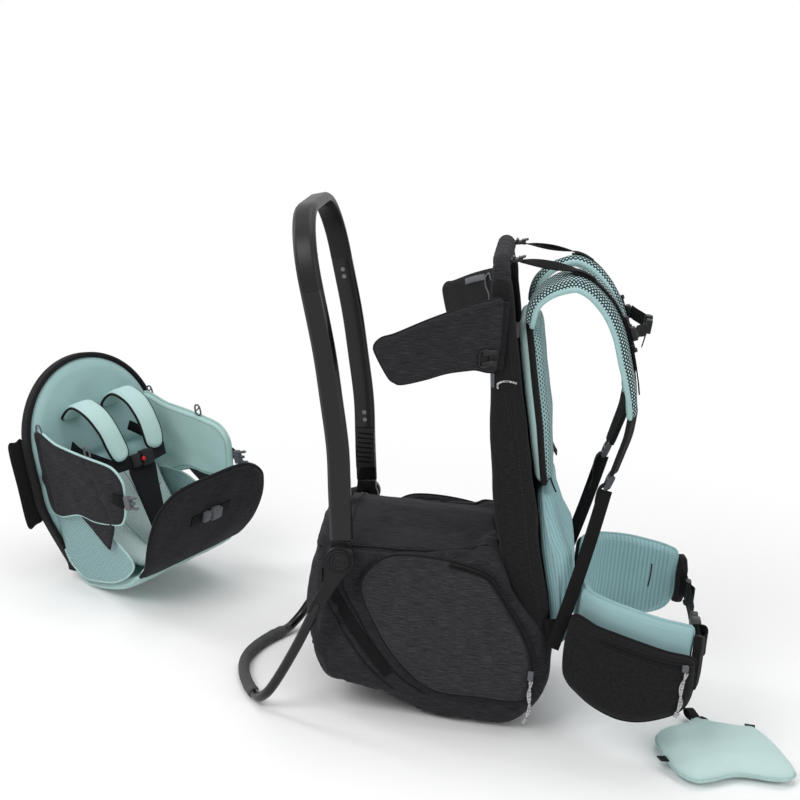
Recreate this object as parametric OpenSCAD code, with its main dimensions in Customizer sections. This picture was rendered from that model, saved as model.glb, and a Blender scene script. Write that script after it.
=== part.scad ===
// Framed child carrier backpack with kickstand, harness, hip belt, removable seat and face pad.
// Millimetres. +X forward (towards the wearer), +Y the wearer's left, +Z up, floor at z = 0.
// The origin is the middle of the flat base of the storage bag.

/* [Frame] */
// Distance between the centre lines of the two hoop bars
hoop_gap = 300; // [250:1:360]
// Height of the top of the hoop
hoop_top_z = 760; // [700:1:900]
// Width of the flat hoop band
band_w = 33; // [27:1:40]
// Thickness of the flat hoop band
band_t = 14; // [10:1:17]
// Radius of the hoop's outer corners
hoop_corner_r = 104; // [80:1:120]
// Radius of the round frame tubes
tube_r = 8; // [6.5:0.1:9.5]
// Radius of the kickstand pivot pins
pin_r = 7; // [5:0.1:8.5]

/* [Kickstand] */
// Radius of the kickstand tube
leg_r = 7.5; // [6:0.1:9]
// Wall of the rubber foot sleeve
foot_wall = 1.6; // [1.2:0.1:2.4]
// How far the middle of the foot bar lies behind the pivot
foot_reach = 157; // [130:1:190]

/* [Bag] */
// Fabric and lining thickness of the storage bag
bag_wall = 6; // [4:0.5:8]
// Gap between the bag's side and the hoop bar
bag_gap = 5; // [3:0.5:8]
// Thickness of the raised side pocket
pocket_t = 12; // [9:0.5:15]
// Height of the crown of the bag's top
bag_top_z = 303; // [290:1:320]

/* [Back frame] */
// How far the post centre lines lie inside the bag's sides
post_inset = 30; // [26:1:36]
// Width of the fabric sleeve round each post
sleeve_w = 32; // [26:1:36]
// Height of the top bar's centre line
top_bar_z = 704; // [690:1:720]

/* [Harness] */
// Distance between the shoulder straps' centre lines
strap_gap = 170; // [150:1:180]
// Width of a shoulder strap
strap_w = 62; // [50:1:70]
// Thickness of a shoulder strap
strap_t = 18; // [14:1:21]
// Width of the back pad
pad_w = 208; // [180:1:220]
// Width of the narrow webbing
web_w = 20; // [15:1:25]
// Thickness of all webbing
web_t = 2; // [1.5:0.1:2.5]

/* [Hip belt] */
// Thickness of the hip belt's padded wings
hip_t = 24; // [18:1:28]
// Thickness of the zipped pocket on the right wing
hip_pocket_t = 24; // [18:1:30]

/* [Child seat] */
// Inside width of the seat
seat_w = 256; // [220:1:300]
// Height of the seat's back above its bottom
seat_h = 400; // [340:1:440]
// Thickness of the seat's back pad
seat_back_t = 24; // [18:1:30]
// Length of the seat's side wings
seat_wing_l = 214; // [190:1:240]

/* [Face pad] */
// Width of the face pad
pillow_w = 186; // [160:1:210]
// Thickness of the face pad
pillow_t = 34; // [26:1:42]

/* [Hidden] */
$fn = 48;

// Colours
heather = [0.13, 0.135, 0.15];
black = [0.06, 0.06, 0.065];
satin = [0.2, 0.2, 0.21];
teal = [0.62, 0.8, 0.78];
grey = [0.42, 0.43, 0.46];

// Clearances
fit = 0.05;      // radial play of the pivot pins
soft_gap = 0.4;  // between soft parts and their neighbours
seam_gap = 0.3;  // between parts that meet face to face

// Frame places, seen from the side as [x, z]
hub = [-216, 258];
hub_r = 20.5;
seam = [-288, 645];
bar_line = [seam, [-265, 563], [-249, 492], [-234, 419], [-226, 350], [-218, 284]];
lean = atan((bar_line[1].x - seam.x) / (seam.y - bar_line[1].y));
bar_y = hoop_gap / 2;
bag_y = bar_y - band_t / 2 - bag_gap;
post_y = bag_y - post_inset;
arm_t = 13.5;
arm_y = bar_y + band_t / 2 + 0.5 + arm_t / 2;
cap_t = 4;

// Posts: centre line, front and rear edges of their sleeves
post_line = [[81, 142], [70, 187], [44, 270], [25, 360], [8, 450], [-6, 540], [-15, 600], [-21, 650], [-27, 684]];
post_front = [[99, 158], [89, 216], [73, 277], [55, 368], [35, 456], [16, 543], [4, 600], [-10, 676]];
post_rear = [[-40, 676], [-33, 600], [-20, 450], [-6, 360], [14, 270], [34, 226], [50, 205]];
sleeve_top_z = 676;
// Sleeve front edge at a given height
front_by_z = [[158, 99], [216, 89], [277, 73], [368, 55], [456, 35], [543, 16], [600, 4], [676, -10]];
function front_x(z) = lookup(z, front_by_z);
rail_front = [78.6, 152];

// Kickstand
foot_z = leg_r + foot_wall + 0.12;
socket = [-243, 188];
leg_line = [
    [-243.2, -arm_y, 187.5], [-266, -arm_y, 125], [-289, -arm_y + 2, 71], [-306, -arm_y + 7, 37],
    [-318, -arm_y + 17, 20], [-329, -arm_y + 32, foot_z + 1.6], [hub.x - foot_reach + 22, -92, foot_z],
    [hub.x - foot_reach + 6, -46, foot_z], [hub.x - foot_reach, 0, foot_z]
];

// Bag
bag_side = [
    [-246, 310], [-262, 270], [-276, 225], [-281, 185], [-281, 150], [-266, 105], [-232, 62], [-196, 48],
    [-151, 38], [-100, 24], [-40, 0], [36, 0], [64, 20], [94, 54], [106, 92], [106, 122], [99, 156],
    [50, 207], [30, 240], [8, 290], [-8, 310]
];
bag_ends = [
    [-bag_y, 62], [-bag_y, 258], [-bag_y + 14, 278], [-72, bag_top_z - 10], [-26, bag_top_z],
    [26, bag_top_z], [72, bag_top_z - 10], [bag_y - 14, 278], [bag_y, 258], [bag_y, 62],
    [bag_y - 10, 28], [bag_y - 30, 0], [-bag_y + 30, 0], [-bag_y + 10, 28]
];
bag_plan = [
    [-300, -72], [-262, -bag_y + 12], [-226, -bag_y], [80, -bag_y], [112, -bag_y + 18],
    [112, bag_y - 18], [80, bag_y], [-226, bag_y], [-262, bag_y - 12], [-300, 72]
];
eyelet_r = pin_r + 3;
pocket_side = [
    [-152, 262], [-117, 270], [-58, 268], [-4, 256], [16, 236], [42, 199], [66, 162], [79, 124], [79, 88],
    [67, 62], [7, 60], [-68, 64], [-124, 106], [-164, 164], [-184, 208], [-178, 236]
];
zip_line = [[77, 88], [78, 124], [64, 162], [40, 199], [15, 234], [-6, 253], [-58, 264]];
slider_t = 4;

// Harness
strap_y = strap_gap / 2;
strap_line = [
    [19, 618.9], [24, 650], [39, 670], [59, 683], [79, 689], [100, 682], [118, 668], [135, 648],
    [150, 620], [162, 584], [171, 550], [177, 520], [180, 498]
];
strap_tail = [[180.2, 497.5], [178, 470], [171, 440], [163, 408]];
pad_front_by_z = [[383, 77], [412, 72], [473, 64], [532, 51], [591, 39], [617, 31]];
lifter_line = [[-1.5, 704], [18, 707], [50, 706], [78, 703], [92, 699], [105, 691.6]];
buckle_x = [-20.6, -1.8];
web_head = [155.6, -90, 385.2];
web_foot = [104, -bag_y - 2, 150];
rail_a = [154, 640];
rail_b = [171.6, 596];
rail_r = 2;
rail_l = norm(rail_b - rail_a);
pad_clear = 0.7;

// Hip belt, in plan as [x, y]
hip_line = [
    [141, -98], [145, -116], [158, -135], [180, -151], [210, -163], [240, -169], [270, -169], [300, -162]
];
hip_side = [
    [120, 236], [150, 242], [206, 236], [250, 228], [286, 222], [304, 214], [306, 128], [285, 112],
    [250, 98], [200, 96], [150, 108], [120, 130]
];
hip_pocket_side = [
    [146, 207], [180, 206], [223, 199], [262, 190], [297, 182], [304, 160], [304, 128], [290, 104],
    [262, 86], [230, 76], [200, 78], [168, 92], [146, 118]
];

// Seat: pose on the ground, then sizes in its own frame
seat_at = [-600, 300, 21.6];
seat_turn = [8, -14, -35];
seat_y = seat_w / 2;

// Face pad: pose on the ground
pillow_at = [368, -130, 0];
pillow_turn = 20;

// Cords, as chosen points
cord_r = 1.6;
pocket_cord = [[77, 100.7], [78, 90], [80, 75], [80, 60], [78, 45], [76, 32]];
hip_cord = [[-1, 166.3], [-1, 155], [-2, 140], [-3, 125], [-4, 110], [-5, 97]];

// ---------- helpers ----------
function unit(v) = v / norm(v);
function last(v) = v[len(v) - 1];
// Smooth curve through points (Catmull-Rom), n steps between two of them
function through(p, n = 4) = [
    for (i = [0 : len(p) - 2], k = [0 : n - 1])
        let (a = p[max(i - 1, 0)], b = p[i], c = p[i + 1], d = p[min(i + 2, len(p) - 1)], t = k / n)
            0.5 * (2 * b + t * (c - a) + t * t * (2 * a - 5 * b + 4 * c - d)
                + t * t * t * (3 * b - a - 3 * c + d)),
    last(p)
];
function along(p, i) = unit(p[min(i + 1, len(p) - 1)] - p[max(i - 1, 0)]);
// Outline of a band of width w round a line in a plane
function band(p, w) = concat(
    [for (i = [0 : len(p) - 1]) let (d = along(p, i)) p[i] + w / 2 * [-d.y, d.x]],
    [for (i = [len(p) - 1 : -1 : 0]) let (d = along(p, i)) p[i] - w / 2 * [-d.y, d.x]]
);
// An outline moved inwards by d (negative: outwards); turn is 1 for a clockwise outline
function inset(p, d, turn = 1) = [
    for (i = [0 : len(p) - 1])
        let (
            n = len(p),
            a = unit(p[i] - p[(i + n - 1) % n]),
            b = unit(p[(i + 1) % n] - p[i]),
            na = turn * [a.y, -a.x],
            nb = turn * [b.y, -b.x]
        )
        p[i] + d * (na + nb) / (1 + na * nb)
];

// Extrudes an [x, z] outline across, from y0 to y1
module slab(y0, y1) {
    translate([0, y1, 0]) rotate([90, 0, 0]) linear_extrude(y1 - y0) children();
}

// Shows a right-hand piece on the given side: -1 right, 1 left
module on_side(s) {
    mirror([0, s > 0 ? 1 : 0, 0]) children();
}

// Cylinder along Y
module across(x, z, r, y0, y1) {
    translate([x, y1, z]) rotate([90, 0, 0]) cylinder(r = r, h = y1 - y0);
}

// Straight flat bar between two points, w wide and t thick
module beam(a, b, w, t) {
    v = b - a;
    translate(a) rotate([0, acos(v.z / norm(v)), atan2(v.y, v.x)])
        translate([-t / 2, -w / 2, 0]) cube([t, w, norm(v)]);
}

// Straight webbing between two points, its width in the side view
module side_web(a, b, w, t) {
    intersection() {
        slab(-250, 0) polygon(band([[a.x, a.z], [b.x, b.z]], w));
        rotate([90, 0, 90]) translate([0, 0, 40]) linear_extrude(160)
            polygon(band([[a.y, a.z], [b.y, b.z]], t));
    }
}

// Round tube along a route in space, hollow when ri > 0
module tube(p, r, ri = 0, sides = 16) {
    n = len(p);
    d = [for (i = [0 : n - 1]) along(p, i)];
    side_v = [for (i = [0 : n - 1]) unit(cross(d[i], abs(d[i].x) < 0.8 ? [1, 0, 0] : [0, 0, 1]))];
    up_v = [for (i = [0 : n - 1]) cross(d[i], side_v[i])];
    outer = [for (i = [0 : n - 1], k = [0 : sides - 1])
        p[i] + r * (cos(360 * k / sides) * side_v[i] + sin(360 * k / sides) * up_v[i])];
    inner = ri == 0 ? [] : [for (i = [0 : n - 1], k = [0 : sides - 1])
        p[i] + ri * (cos(360 * k / sides) * side_v[i] + sin(360 * k / sides) * up_v[i])];
    m = n * sides;
    walls = [for (i = [0 : n - 2], k = [0 : sides - 1])
        let (a = i * sides, b = a + sides, j = (k + 1) % sides) [a + k, b + k, b + j, a + j]];
    bores = ri == 0 ? [] : [for (i = [0 : n - 2], k = [0 : sides - 1])
        let (a = m + i * sides, b = a + sides, j = (k + 1) % sides) [a + j, b + j, b + k, a + k]];
    ends = ri == 0
        ? [[for (k = [0 : sides - 1]) k], [for (k = [sides - 1 : -1 : 0]) m - sides + k]]
        : concat(
            [for (k = [0 : sides - 1]) let (j = (k + 1) % sides) [k, j, m + j, m + k]],
            [for (k = [0 : sides - 1]) let (j = (k + 1) % sides)
                [m - sides + j, m - sides + k, 2 * m - sides + k, 2 * m - sides + j]]
        );
    polyhedron(concat(outer, inner), concat(walls, bores, ends), convexity = 6);
}

// A route given for the right half, with its mirror image added
function both_sides(p) = concat(p, [for (i = [len(p) - 2 : -1 : 0]) [p[i].x, -p[i].y, p[i].z]]);

// ---------- frame ----------
// Rectangle with round upper corners, standing on the X axis
module rounded_top(w, h, r) {
    intersection() {
        translate([-w / 2, 0]) square([w, h]);
        union() {
            translate([-w / 2, 0]) square([w, h - r]);
            translate([-w / 2 + r, 0]) square([w - 2 * r, h]);
            for (s = [-1, 1]) translate([s * (w / 2 - r), h - r]) circle(r);
        }
    }
}

module hoop_arch() {
    h = (hoop_top_z - seam.y - band_w / 2 * sin(lean)) / cos(lean);
    w = 2 * bar_y + band_t;
    color(satin) translate([seam.x, 0, seam.y]) rotate([0, -lean, 0])
        translate([-band_w / 2, 0, seam_gap]) rotate([90, 0, 90]) linear_extrude(band_w) difference() {
            rounded_top(w, h - seam_gap, hoop_corner_r);
            translate([0, -1]) rounded_top(w - 2 * band_t, h - seam_gap - band_t + 1, hoop_corner_r - band_t);
        }
}

module hoop_bar() {
    color(black) slab(-bar_y - band_t / 2, -bar_y + band_t / 2) polygon(band(through(bar_line, 3), band_w));
}

screw_r = 3.4;
screw_t = 1.4;
module hoop_screws() {
    inner = bar_y - band_t / 2;
    color(grey) for (s = [-1, 1], at = [[-284, 628], [-281, 617], [-231, 398], [-229, 386]])
        on_side(s) across(at.x, at.y, screw_r, -inner, -inner + screw_t);
}

// Ribbed stiffener on the inner face of each bar's foot
module bar_ribs() {
    inner = bar_y - band_t / 2;
    foot = through([[-228, 372], [-225, 340], [-221, 306]], 3);
    color(black) for (s = [-1, 1]) on_side(s) slab(-inner, -inner + 4) difference() {
        polygon(band(foot, band_w - 2));
        for (z = [314 : 8 : 362]) translate([-237, z]) square([24, 3]);
    }
}

module hub_lug() {
    foot = last(bar_line);
    color(satin) difference() {
        union() {
            across(hub.x, hub.y, hub_r - 1.5, -bar_y - band_t / 2, -bar_y + band_t / 2);
            slab(-bar_y - band_t / 2, -bar_y + band_t / 2)
                polygon([[foot.x - 15, foot.y - 2.2], [foot.x + 15, foot.y - seam_gap - 0.1],
                    [hub.x + 16, hub.y], [hub.x - 16, hub.y]]);
        }
        across(hub.x, hub.y, pin_r + fit, -arm_y, -post_y);
    }
}

pin_head_r = 17;
module pivot_pin() {
    end = arm_y + arm_t / 2 + seam_gap;
    color(satin) {
        across(hub.x, hub.y, pin_r, -end, -post_y + tube_r);
        across(hub.x, hub.y, pin_head_r, -end - cap_t, -end);
    }
}

module side_rail() {
    eye_r = pin_r + 6;
    rail_r = tube_r - 1;
    v = unit(rail_front - hub);
    slope = asin(abs(v * unit(post_line[1] - post_line[0])));
    a = hub + v * (eye_r - 1);
    b = rail_front - v * ((tube_r + seam_gap) / cos(slope) + rail_r * tan(slope));
    color(grey) difference() {
        union() {
            across(hub.x, hub.y, eye_r, -post_y - tube_r, -post_y + tube_r);
            translate([a.x, -post_y, a.y]) rotate([0, 90 - atan2(v.y, v.x), 0])
                cylinder(r = rail_r, h = norm(b - a));
        }
        across(hub.x, hub.y, pin_r + fit, -post_y - 2 * tube_r, -post_y + 2 * tube_r);
    }
}

module cross_bar() {
    inner = post_y - tube_r - seam_gap;
    color(grey) across(rail_front.x, rail_front.y, tube_r - 2, -inner, inner);
}

function post_route() = concat(
    [for (p = through(post_line, 2)) [p.x, -post_y, p.y]],
    [[-28.5, -post_y + 3, top_bar_z - 9], [-29, -post_y + 9, top_bar_z - 3], [-29, -post_y + 18, top_bar_z]],
    [[-29, -post_y / 2, top_bar_z], [-29, 0, top_bar_z]]
);
module back_frame() {
    color(black) tube(both_sides(post_route()), tube_r);
}

module back_web() {
    web = [for (p = through(post_line, 2)) if (p.y > 305) p];
    half = post_y - sleeve_w / 2 - soft_gap;
    color(black) slab(-half, half) polygon(band(web, 2.4));
}

module sleeve_outline(gap = 0) {
    polygon(inset(concat(post_front, post_rear), -gap, -1));
}

module post_sleeve() {
    web_anchor();
    color(heather) difference() {
        slab(-post_y - sleeve_w / 2, -post_y + sleeve_w / 2) sleeve_outline();
        slab(-post_y - tube_r - 1.5, -post_y + tube_r + 1.5)
            polygon(band(concat([[88, 110]], through(post_line, 2), [[-29, 700]]), 2 * tube_r + 3));
    }
}

// Webbing tab at the foot of the post, where the harness webbing ends
module web_anchor() {
    root_y = -post_y - sleeve_w / 2 - 1.6;
    color(black) side_web([96, root_y, 187], [103, web_foot.y + 5.2, 163], web_w - 2, 2.4);
}

module bag_form(d = 0) {
    intersection() {
        slab(-bag_y, bag_y) polygon(inset(bag_side, d, -1));
        rotate([90, 0, 90]) translate([0, 0, -320]) linear_extrude(460) polygon(inset(bag_ends, d));
        translate([0, 0, -10]) linear_extrude(bag_top_z + 20) polygon(inset(bag_plan, d, -1));
    }
}

module storage_bag() {
    color(heather) difference() {
        bag_form();
        bag_form(bag_wall);
        for (s = [-1, 1]) on_side(s) {
            across(hub.x, hub.y, eyelet_r, -bag_y - 1, -post_y);
            slab(-post_y - sleeve_w / 2 - soft_gap, -post_y + sleeve_w / 2 + soft_gap)
                sleeve_outline(soft_gap);
            slab(-post_y - tube_r - 2, -post_y + tube_r + 2) polygon([[48, 172], [92, 158], [80, 240], [50, 220]]);
        }
    }
}

module side_pocket() {
    color(heather) slab(-bag_y - pocket_t, -bag_y - seam_gap) polygon(through(pocket_side, 2));
}

zip_w = 7;
zip_t = 1.4;
module pocket_zips() {
    out = bag_y + pocket_t + seam_gap;
    color(black) for (s = [-1, 1]) on_side(s)
        slab(-out - zip_t, -out) polygon(band(through(zip_line, 3), zip_w));
}

module lumbar_pad() {
    zs = [376, 330, 277, 216, 162];
    color(teal) slab(-pad_w / 2, pad_w / 2) polygon(concat(
        [for (z = zs) [front_x(z) + soft_gap, z]],
        [[112, 130], [124, 138], [128, 196], [125, 246], [116, 283], [101, 306], [86, 340], [78, 376]]
    ));
}

// ---------- kickstand ----------
module kick_arm() {
    y0 = -arm_y - arm_t / 2;
    y1 = -arm_y + arm_t / 2;
    v = unit([socket.x - leg_line[1].x, 0, socket.y - leg_line[1].z]);
    color(satin) difference() {
        union() {
            across(hub.x, hub.y, hub_r, y0, y1);
            slab(y0, y1) polygon([
                [hub.x - 19, hub.y - 6], [-237, 222], [-251, 190], [-257, 172], [-241, 166],
                [-228, 196], [-212, 228], [hub.x + 19, hub.y - 8]
            ]);
        }
        across(hub.x, hub.y, pin_r + fit, y0 - 1, y1 + 1);
        translate([socket.x, -arm_y, socket.y]) rotate([0, atan2(v.x, v.z), 0])
            translate([0, 0, -40]) cylinder(r = leg_r + 0.5, h = 40);
    }
}

module kick_tube() {
    color(black) tube(through(both_sides(leg_line), 2), leg_r);
}

module kick_foot() {
    half = [for (p = through(both_sides(leg_line), 2)) if (abs(p.y) < 125) p];
    color(grey) tube(half, leg_r + foot_wall, leg_r + 0.3);
}

// ---------- headrest wings ----------
wing_root = [-16, 0];
wing_t = 10;
wing_side = [
    [4, 556], [4, 654], [50, 645], [110, 626], [186, 597], [190, 588], [156, 540], [148, 536], [80, 549]
];
module wing(turn) {
    y = -post_y - sleeve_w / 2 - soft_gap;
    color(heather) translate([wing_root.x, y - wing_t / 2, 0]) rotate([0, 0, 180 + turn]) {
        translate([0, 0, 556]) cylinder(r = wing_t / 2, h = 98);
        slab(-wing_t / 2, wing_t / 2) polygon(wing_side);
    }
}
wing_turn_right = 24;
wing_turn_left = 52;

// ---------- harness ----------
module back_pad() {
    zs = [385, 440, 500, 560, 617];
    color(teal) slab(-pad_w / 2, pad_w / 2) polygon(concat(
        [for (z = zs) [front_x(z) + pad_clear, z]],
        [for (i = [len(pad_front_by_z) - 1 : -1 : 0]) [pad_front_by_z[i].y, pad_front_by_z[i].x + (i == 0 ? 2 : 0)]]
    ));
}

module yoke_plate() {
    web_x_by_z = [for (p = post_line) [p.y, p.x]];
    color(black) slab(-58, 58) polygon(concat(
        [for (z = [510, 550, 590]) [lookup(z, web_x_by_z) + 1.9 + (z - 510) * 0.03, z]],
        [for (z = [590, 550, 510]) [front_x(z) + pad_clear - seam_gap, z]]
    ));
}

module shoulder_strap() {
    color(teal) slab(-strap_y - strap_w / 2, -strap_y + strap_w / 2)
        polygon(band(through(strap_line, 2), strap_t));
    color(black) rail_frame() translate([0, 0, -rail_l / 2]) cylinder(r = rail_r, h = rail_l);
}

module strap_end() {
    lock = last(strap_tail);
    color(black) slab(-strap_y - 17, -strap_y + 17) polygon(band(through(strap_tail, 2), 5));
    color(grey) slab(-strap_y - 15, -strap_y + 15)
        translate(lock + [-0.2, -0.8]) rotate(-108) translate([0, -4]) square([22, 8]);
}

module lifter_buckles() {
    color(black) for (s = [-1, 1]) on_side(s)
        translate([buckle_x[0], -strap_y - 13, top_bar_z - 5]) cube([buckle_x[1] - buckle_x[0], 26, 10]);
}

module load_lifters() {
    color(black) for (s = [-1, 1]) on_side(s)
        slab(-strap_y - web_w / 2, -strap_y + web_w / 2) polygon(band(through(lifter_line, 3), web_t));
}

module harness_webbing() {
    color(black) for (s = [-1, 1]) on_side(s) side_web(web_head, web_foot, web_w, web_t);
}

// Places children on the sternum strap's rail: Z along the rail, X away from the shoulder strap
module rail_frame() {
    v = rail_b - rail_a;
    translate([(rail_a.x + rail_b.x) / 2, -strap_y, (rail_a.y + rail_b.y) / 2])
        rotate([0, atan2(v.x, v.y) - 180, 0]) children();
}

module sternum_strap() {
    clip_l = 20;
    for (s = [-1, 1]) on_side(s) color(black) {
        rail_frame() difference() {
            translate([-1, -8, -clip_l / 2]) cube([10, 16, clip_l]);
            translate([0, 0, -clip_l]) cylinder(r = rail_r + 0.08, h = 2 * clip_l);
        }
        beam([168, -strap_y + 9, 619], [190, -23.9, 619], web_t, web_w);
    }
}

module sternum_buckle() {
    color(black) translate([184, -23, 606]) cube([16, 46, 26]);
}

// ---------- hip belt ----------
module hip_band(offset_y, t) {
    line = through(hip_line, 3);
    translate([0, 0, 60]) linear_extrude(220)
        polygon(band([for (i = [0 : len(line) - 1]) let (d = along(line, i)) line[i] + offset_y * [d.y, -d.x]], t));
}

module hip_pad() {
    color(teal) intersection() {
        hip_band(0, hip_t);
        slab(-230, -90) polygon(hip_side);
    }
}

module hip_pocket() {
    color(black) intersection() {
        hip_band(hip_t / 2 + soft_gap + hip_pocket_t / 2, hip_pocket_t);
        slab(-230, -90) polygon(hip_pocket_side);
    }
}

module hip_zip() {
    off = hip_t / 2 + soft_gap + hip_pocket_t + seam_gap + zip_t / 2;
    color(black) intersection() {
        hip_band(off, zip_t);
        slab(-240, -150) polygon(band([[190, 189], [235, 181], [296, 170]], zip_w));
    }
}

tip = [302, -158];
web_x = 318;
module hip_belt_right() {
    color(black) {
        translate([tip.x + 1.5, tip.y - 16, 126]) cube([16, 25, 84]);
        beam([web_x, tip.y + 9.3, 166], [web_x, -62, 166], 38, 2.4);
        translate([web_x - 7, -62, 146]) cube([14, 34, 40]);
    }
}

module hip_belt_left() {
    color(black) {
        translate([tip.x + 1.5, -tip.y - 9, 126]) cube([16, 25, 84]);
        beam([web_x, -tip.y - 9.3, 166], [web_x, -7, 166], 38, 2.4);
        translate([web_x - 7, -27.4, 146]) cube([14, 20.4, 40]);
    }
}

// ---------- zip sliders and pulls ----------
module pocket_slider() {
    out = bag_y + pocket_t + seam_gap + zip_t + seam_gap;
    color(grey) translate([73, -out - slider_t, 101.5]) cube([8, slider_t, 14]);
}

module pocket_pull() {
    y = -(bag_y + pocket_t + 2 * seam_gap + zip_t + slider_t / 2);
    color(grey) tube([for (p = pocket_cord) [p.x, y, p.y]], cord_r, 0, 8);
}

// Places children at the front end of the hip zip: X along the zip, -Y outwards from the pocket
hip_out = hip_t / 2 + soft_gap + hip_pocket_t + 2 * seam_gap + zip_t;
module hip_zip_frame() {
    translate([283, -166.6, 0]) rotate([0, 0, 13]) children();
}

module hip_slider() {
    color(grey) hip_zip_frame() translate([-6, -hip_out - slider_t, 167]) cube([9, slider_t, 10]);
}

module hip_pull() {
    color(grey) hip_zip_frame() tube([for (p = hip_cord) [p.x, -hip_out - 2.2, p.y]], cord_r, 0, 8);
}

// ---------- child seat ----------
module seat_place() {
    translate(seat_at) rotate(seat_turn) children();
}

seat_r = seat_w / 2 + 18;
module seat_back_form(d) {
    translate([0, seat_h - seat_r]) circle(seat_r - d);
    polygon([[-seat_r + d, seat_h - seat_r], [seat_r - d, seat_h - seat_r], [seat_r - d, 150],
        [seat_r - 40 - d, 24 + d], [-seat_r + 40 + d, 24 + d], [-seat_r + d, 150]]);
}

binding_w = 6;
back_x = -86;
module seat_back() {
    color(teal) seat_place() translate([back_x - seat_back_t, 0, 0]) rotate([90, 0, 90])
        linear_extrude(seat_back_t) seat_back_form(binding_w + seam_gap);
}

module seat_binding() {
    color(black) seat_place() {
        translate([back_x - seat_back_t + 3, 0, 0]) rotate([90, 0, 90])
            linear_extrude(seat_back_t - 4) difference() {
                seat_back_form(0);
                seat_back_form(binding_w);
            }
        translate([back_x - seat_back_t - 1.3, -seat_r - 22, 130]) cube([4, 21.8, 150]);
    }
}

module seat_sides() {
    side = [
        [back_x + seam_gap, 292], [back_x + 150, 246], [back_x + seat_wing_l - 16, 226],
        [back_x + seat_wing_l, 200], [back_x + seat_wing_l - 10, 150], [back_x + 172, 126],
        [back_x + 142, 84], [back_x + 84, 150], [back_x + seam_gap, 152]
    ];
    net = [[back_x + seam_gap, 145], [back_x + 80, 142], [60, 92], [98, 60], [40, 22], [-40, 24], [back_x + 4, 60]];
    for (s = [-1, 1]) seat_place() on_side(s) {
        color(heather) slab(-seat_y - 5, -seat_y + 5) polygon(side);
        color(teal) slab(-seat_y + 6, -seat_y + 9) polygon(net);
    }
}

module seat_bottom() {
    line = through([[back_x + 6.9, 64], [back_x + 13, 36], [-48, 12], [0, 6], [50, 10], [96, 30]], 3);
    color(teal) seat_place() slab(-seat_y + 14, seat_y - 14) polygon(band(line, 12));
}

module seat_front() {
    line = [[97.3, 30.6], [112, 38], [140, 62], [170, 104], [194, 150], [206, 182]];
    color(black) seat_place() intersection() {
        slab(-seat_y - 6, seat_y + 6) polygon(band(through(line, 2), 16));
        translate([60, 0, 0]) rotate([90, 0, 90]) linear_extrude(200)
            polygon([[-110, 0], [110, 0], [134, 90], [128, 160], [80, 200], [-80, 200], [-128, 160], [-134, 90]]);
    }
}

module seat_harness() {
    strap = through([[back_x + 3.4, 298], [-40, 318], [-4, 300], [18, 262], [26, 221.6]], 3);
    seat_place() {
        color(teal) for (s = [-1, 1]) on_side(s) slab(-66, -24) polygon(band(strap, 12));
        color(black) translate([16, -66, 196]) cube([16, 132, 24]);
        color(black) beam([26, 0, 195.5], [46, 0, 17], 34, 3);
    }
}

module seat_hooks() {
    color(grey) seat_place() for (s = [-1, 1], x = [-66, 56])
        translate([x, s * seat_y, 292 - (x - back_x) * 0.307 + 11.4])
            rotate([90, 0, 0]) rotate_extrude() translate([9, 0]) circle(1.8);
}

module seat_buckles() {
    color(grey) seat_place() {
        for (s = [-1, 1]) translate([back_x + seat_wing_l - 2.6, s * seat_y - 6, 160]) cube([34, 12, 24]);
        beam([191.2, 0, 115.9], [203.8, 0, 139.9], 40, 8);
    }
}

// ---------- face pad ----------
module pillow_place() {
    translate(pillow_at) rotate([0, 0, pillow_turn]) children();
}

module pillow_outline() {
    w = pillow_w / 2;
    polygon(through([
        [-w, -40], [-w + 4, 20], [-w + 20, 62], [-w + 60, 74], [-20, 82], [4, 104], [14, 106], [24, 84],
        [48, 66], [w - 6, 48], [w, 0], [w - 4, -60], [w - 22, -86], [w - 52, -84], [0, -66], [-w + 50, -76],
        [-w + 16, -74], [-w, -40]
    ], 2));
}

module pillow_pad() {
    color(teal) pillow_place() linear_extrude(pillow_t) pillow_outline();
}

module pillow_loop() {
    color(black) pillow_place() {
        translate([2, 108.4, 8]) difference() {
            cube([14, 26, 14]);
            translate([-1, 4, 4]) cube([16, 16, 6]);
        }
        translate([12, 84, pillow_t + seam_gap]) cylinder(r = 6, h = 2.5);
    }
}

hoop_arch();
on_side(-1) hoop_bar();  // hoop_bar_right
on_side(1) hoop_bar();  // hoop_bar_left
hoop_screws();
bar_ribs();
on_side(-1) hub_lug();  // hub_right
on_side(1) hub_lug();  // hub_left
on_side(-1) pivot_pin();  // pivot_pin_right
on_side(1) pivot_pin();  // pivot_pin_left
on_side(-1) side_rail();  // side_rail_right
on_side(1) side_rail();  // side_rail_left
cross_bar();
back_frame();
back_web();
on_side(-1) post_sleeve();  // post_sleeve_right
on_side(1) post_sleeve();  // post_sleeve_left
storage_bag();
on_side(-1) side_pocket();  // side_pocket_right
on_side(1) side_pocket();  // side_pocket_left
pocket_zips();
lumbar_pad();
on_side(-1) kick_arm();  // kick_arm_right
on_side(1) kick_arm();  // kick_arm_left
kick_tube();
kick_foot();
on_side(-1) wing(wing_turn_right);  // wing_right
on_side(1) wing(wing_turn_left);  // wing_left
back_pad();
yoke_plate();
on_side(-1) shoulder_strap();  // shoulder_strap_right
on_side(1) shoulder_strap();  // shoulder_strap_left
on_side(-1) strap_end();  // strap_end_right
on_side(1) strap_end();  // strap_end_left
lifter_buckles();
load_lifters();
harness_webbing();
sternum_strap();
sternum_buckle();
on_side(-1) hip_pad();  // hip_pad_right
on_side(1) hip_pad();  // hip_pad_left
on_side(-1) hip_pocket();
on_side(-1) hip_zip();
hip_belt_right();
hip_belt_left();
on_side(-1) pocket_slider();  // pocket_slider_right
on_side(-1) pocket_pull();  // pocket_pull_right
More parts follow.
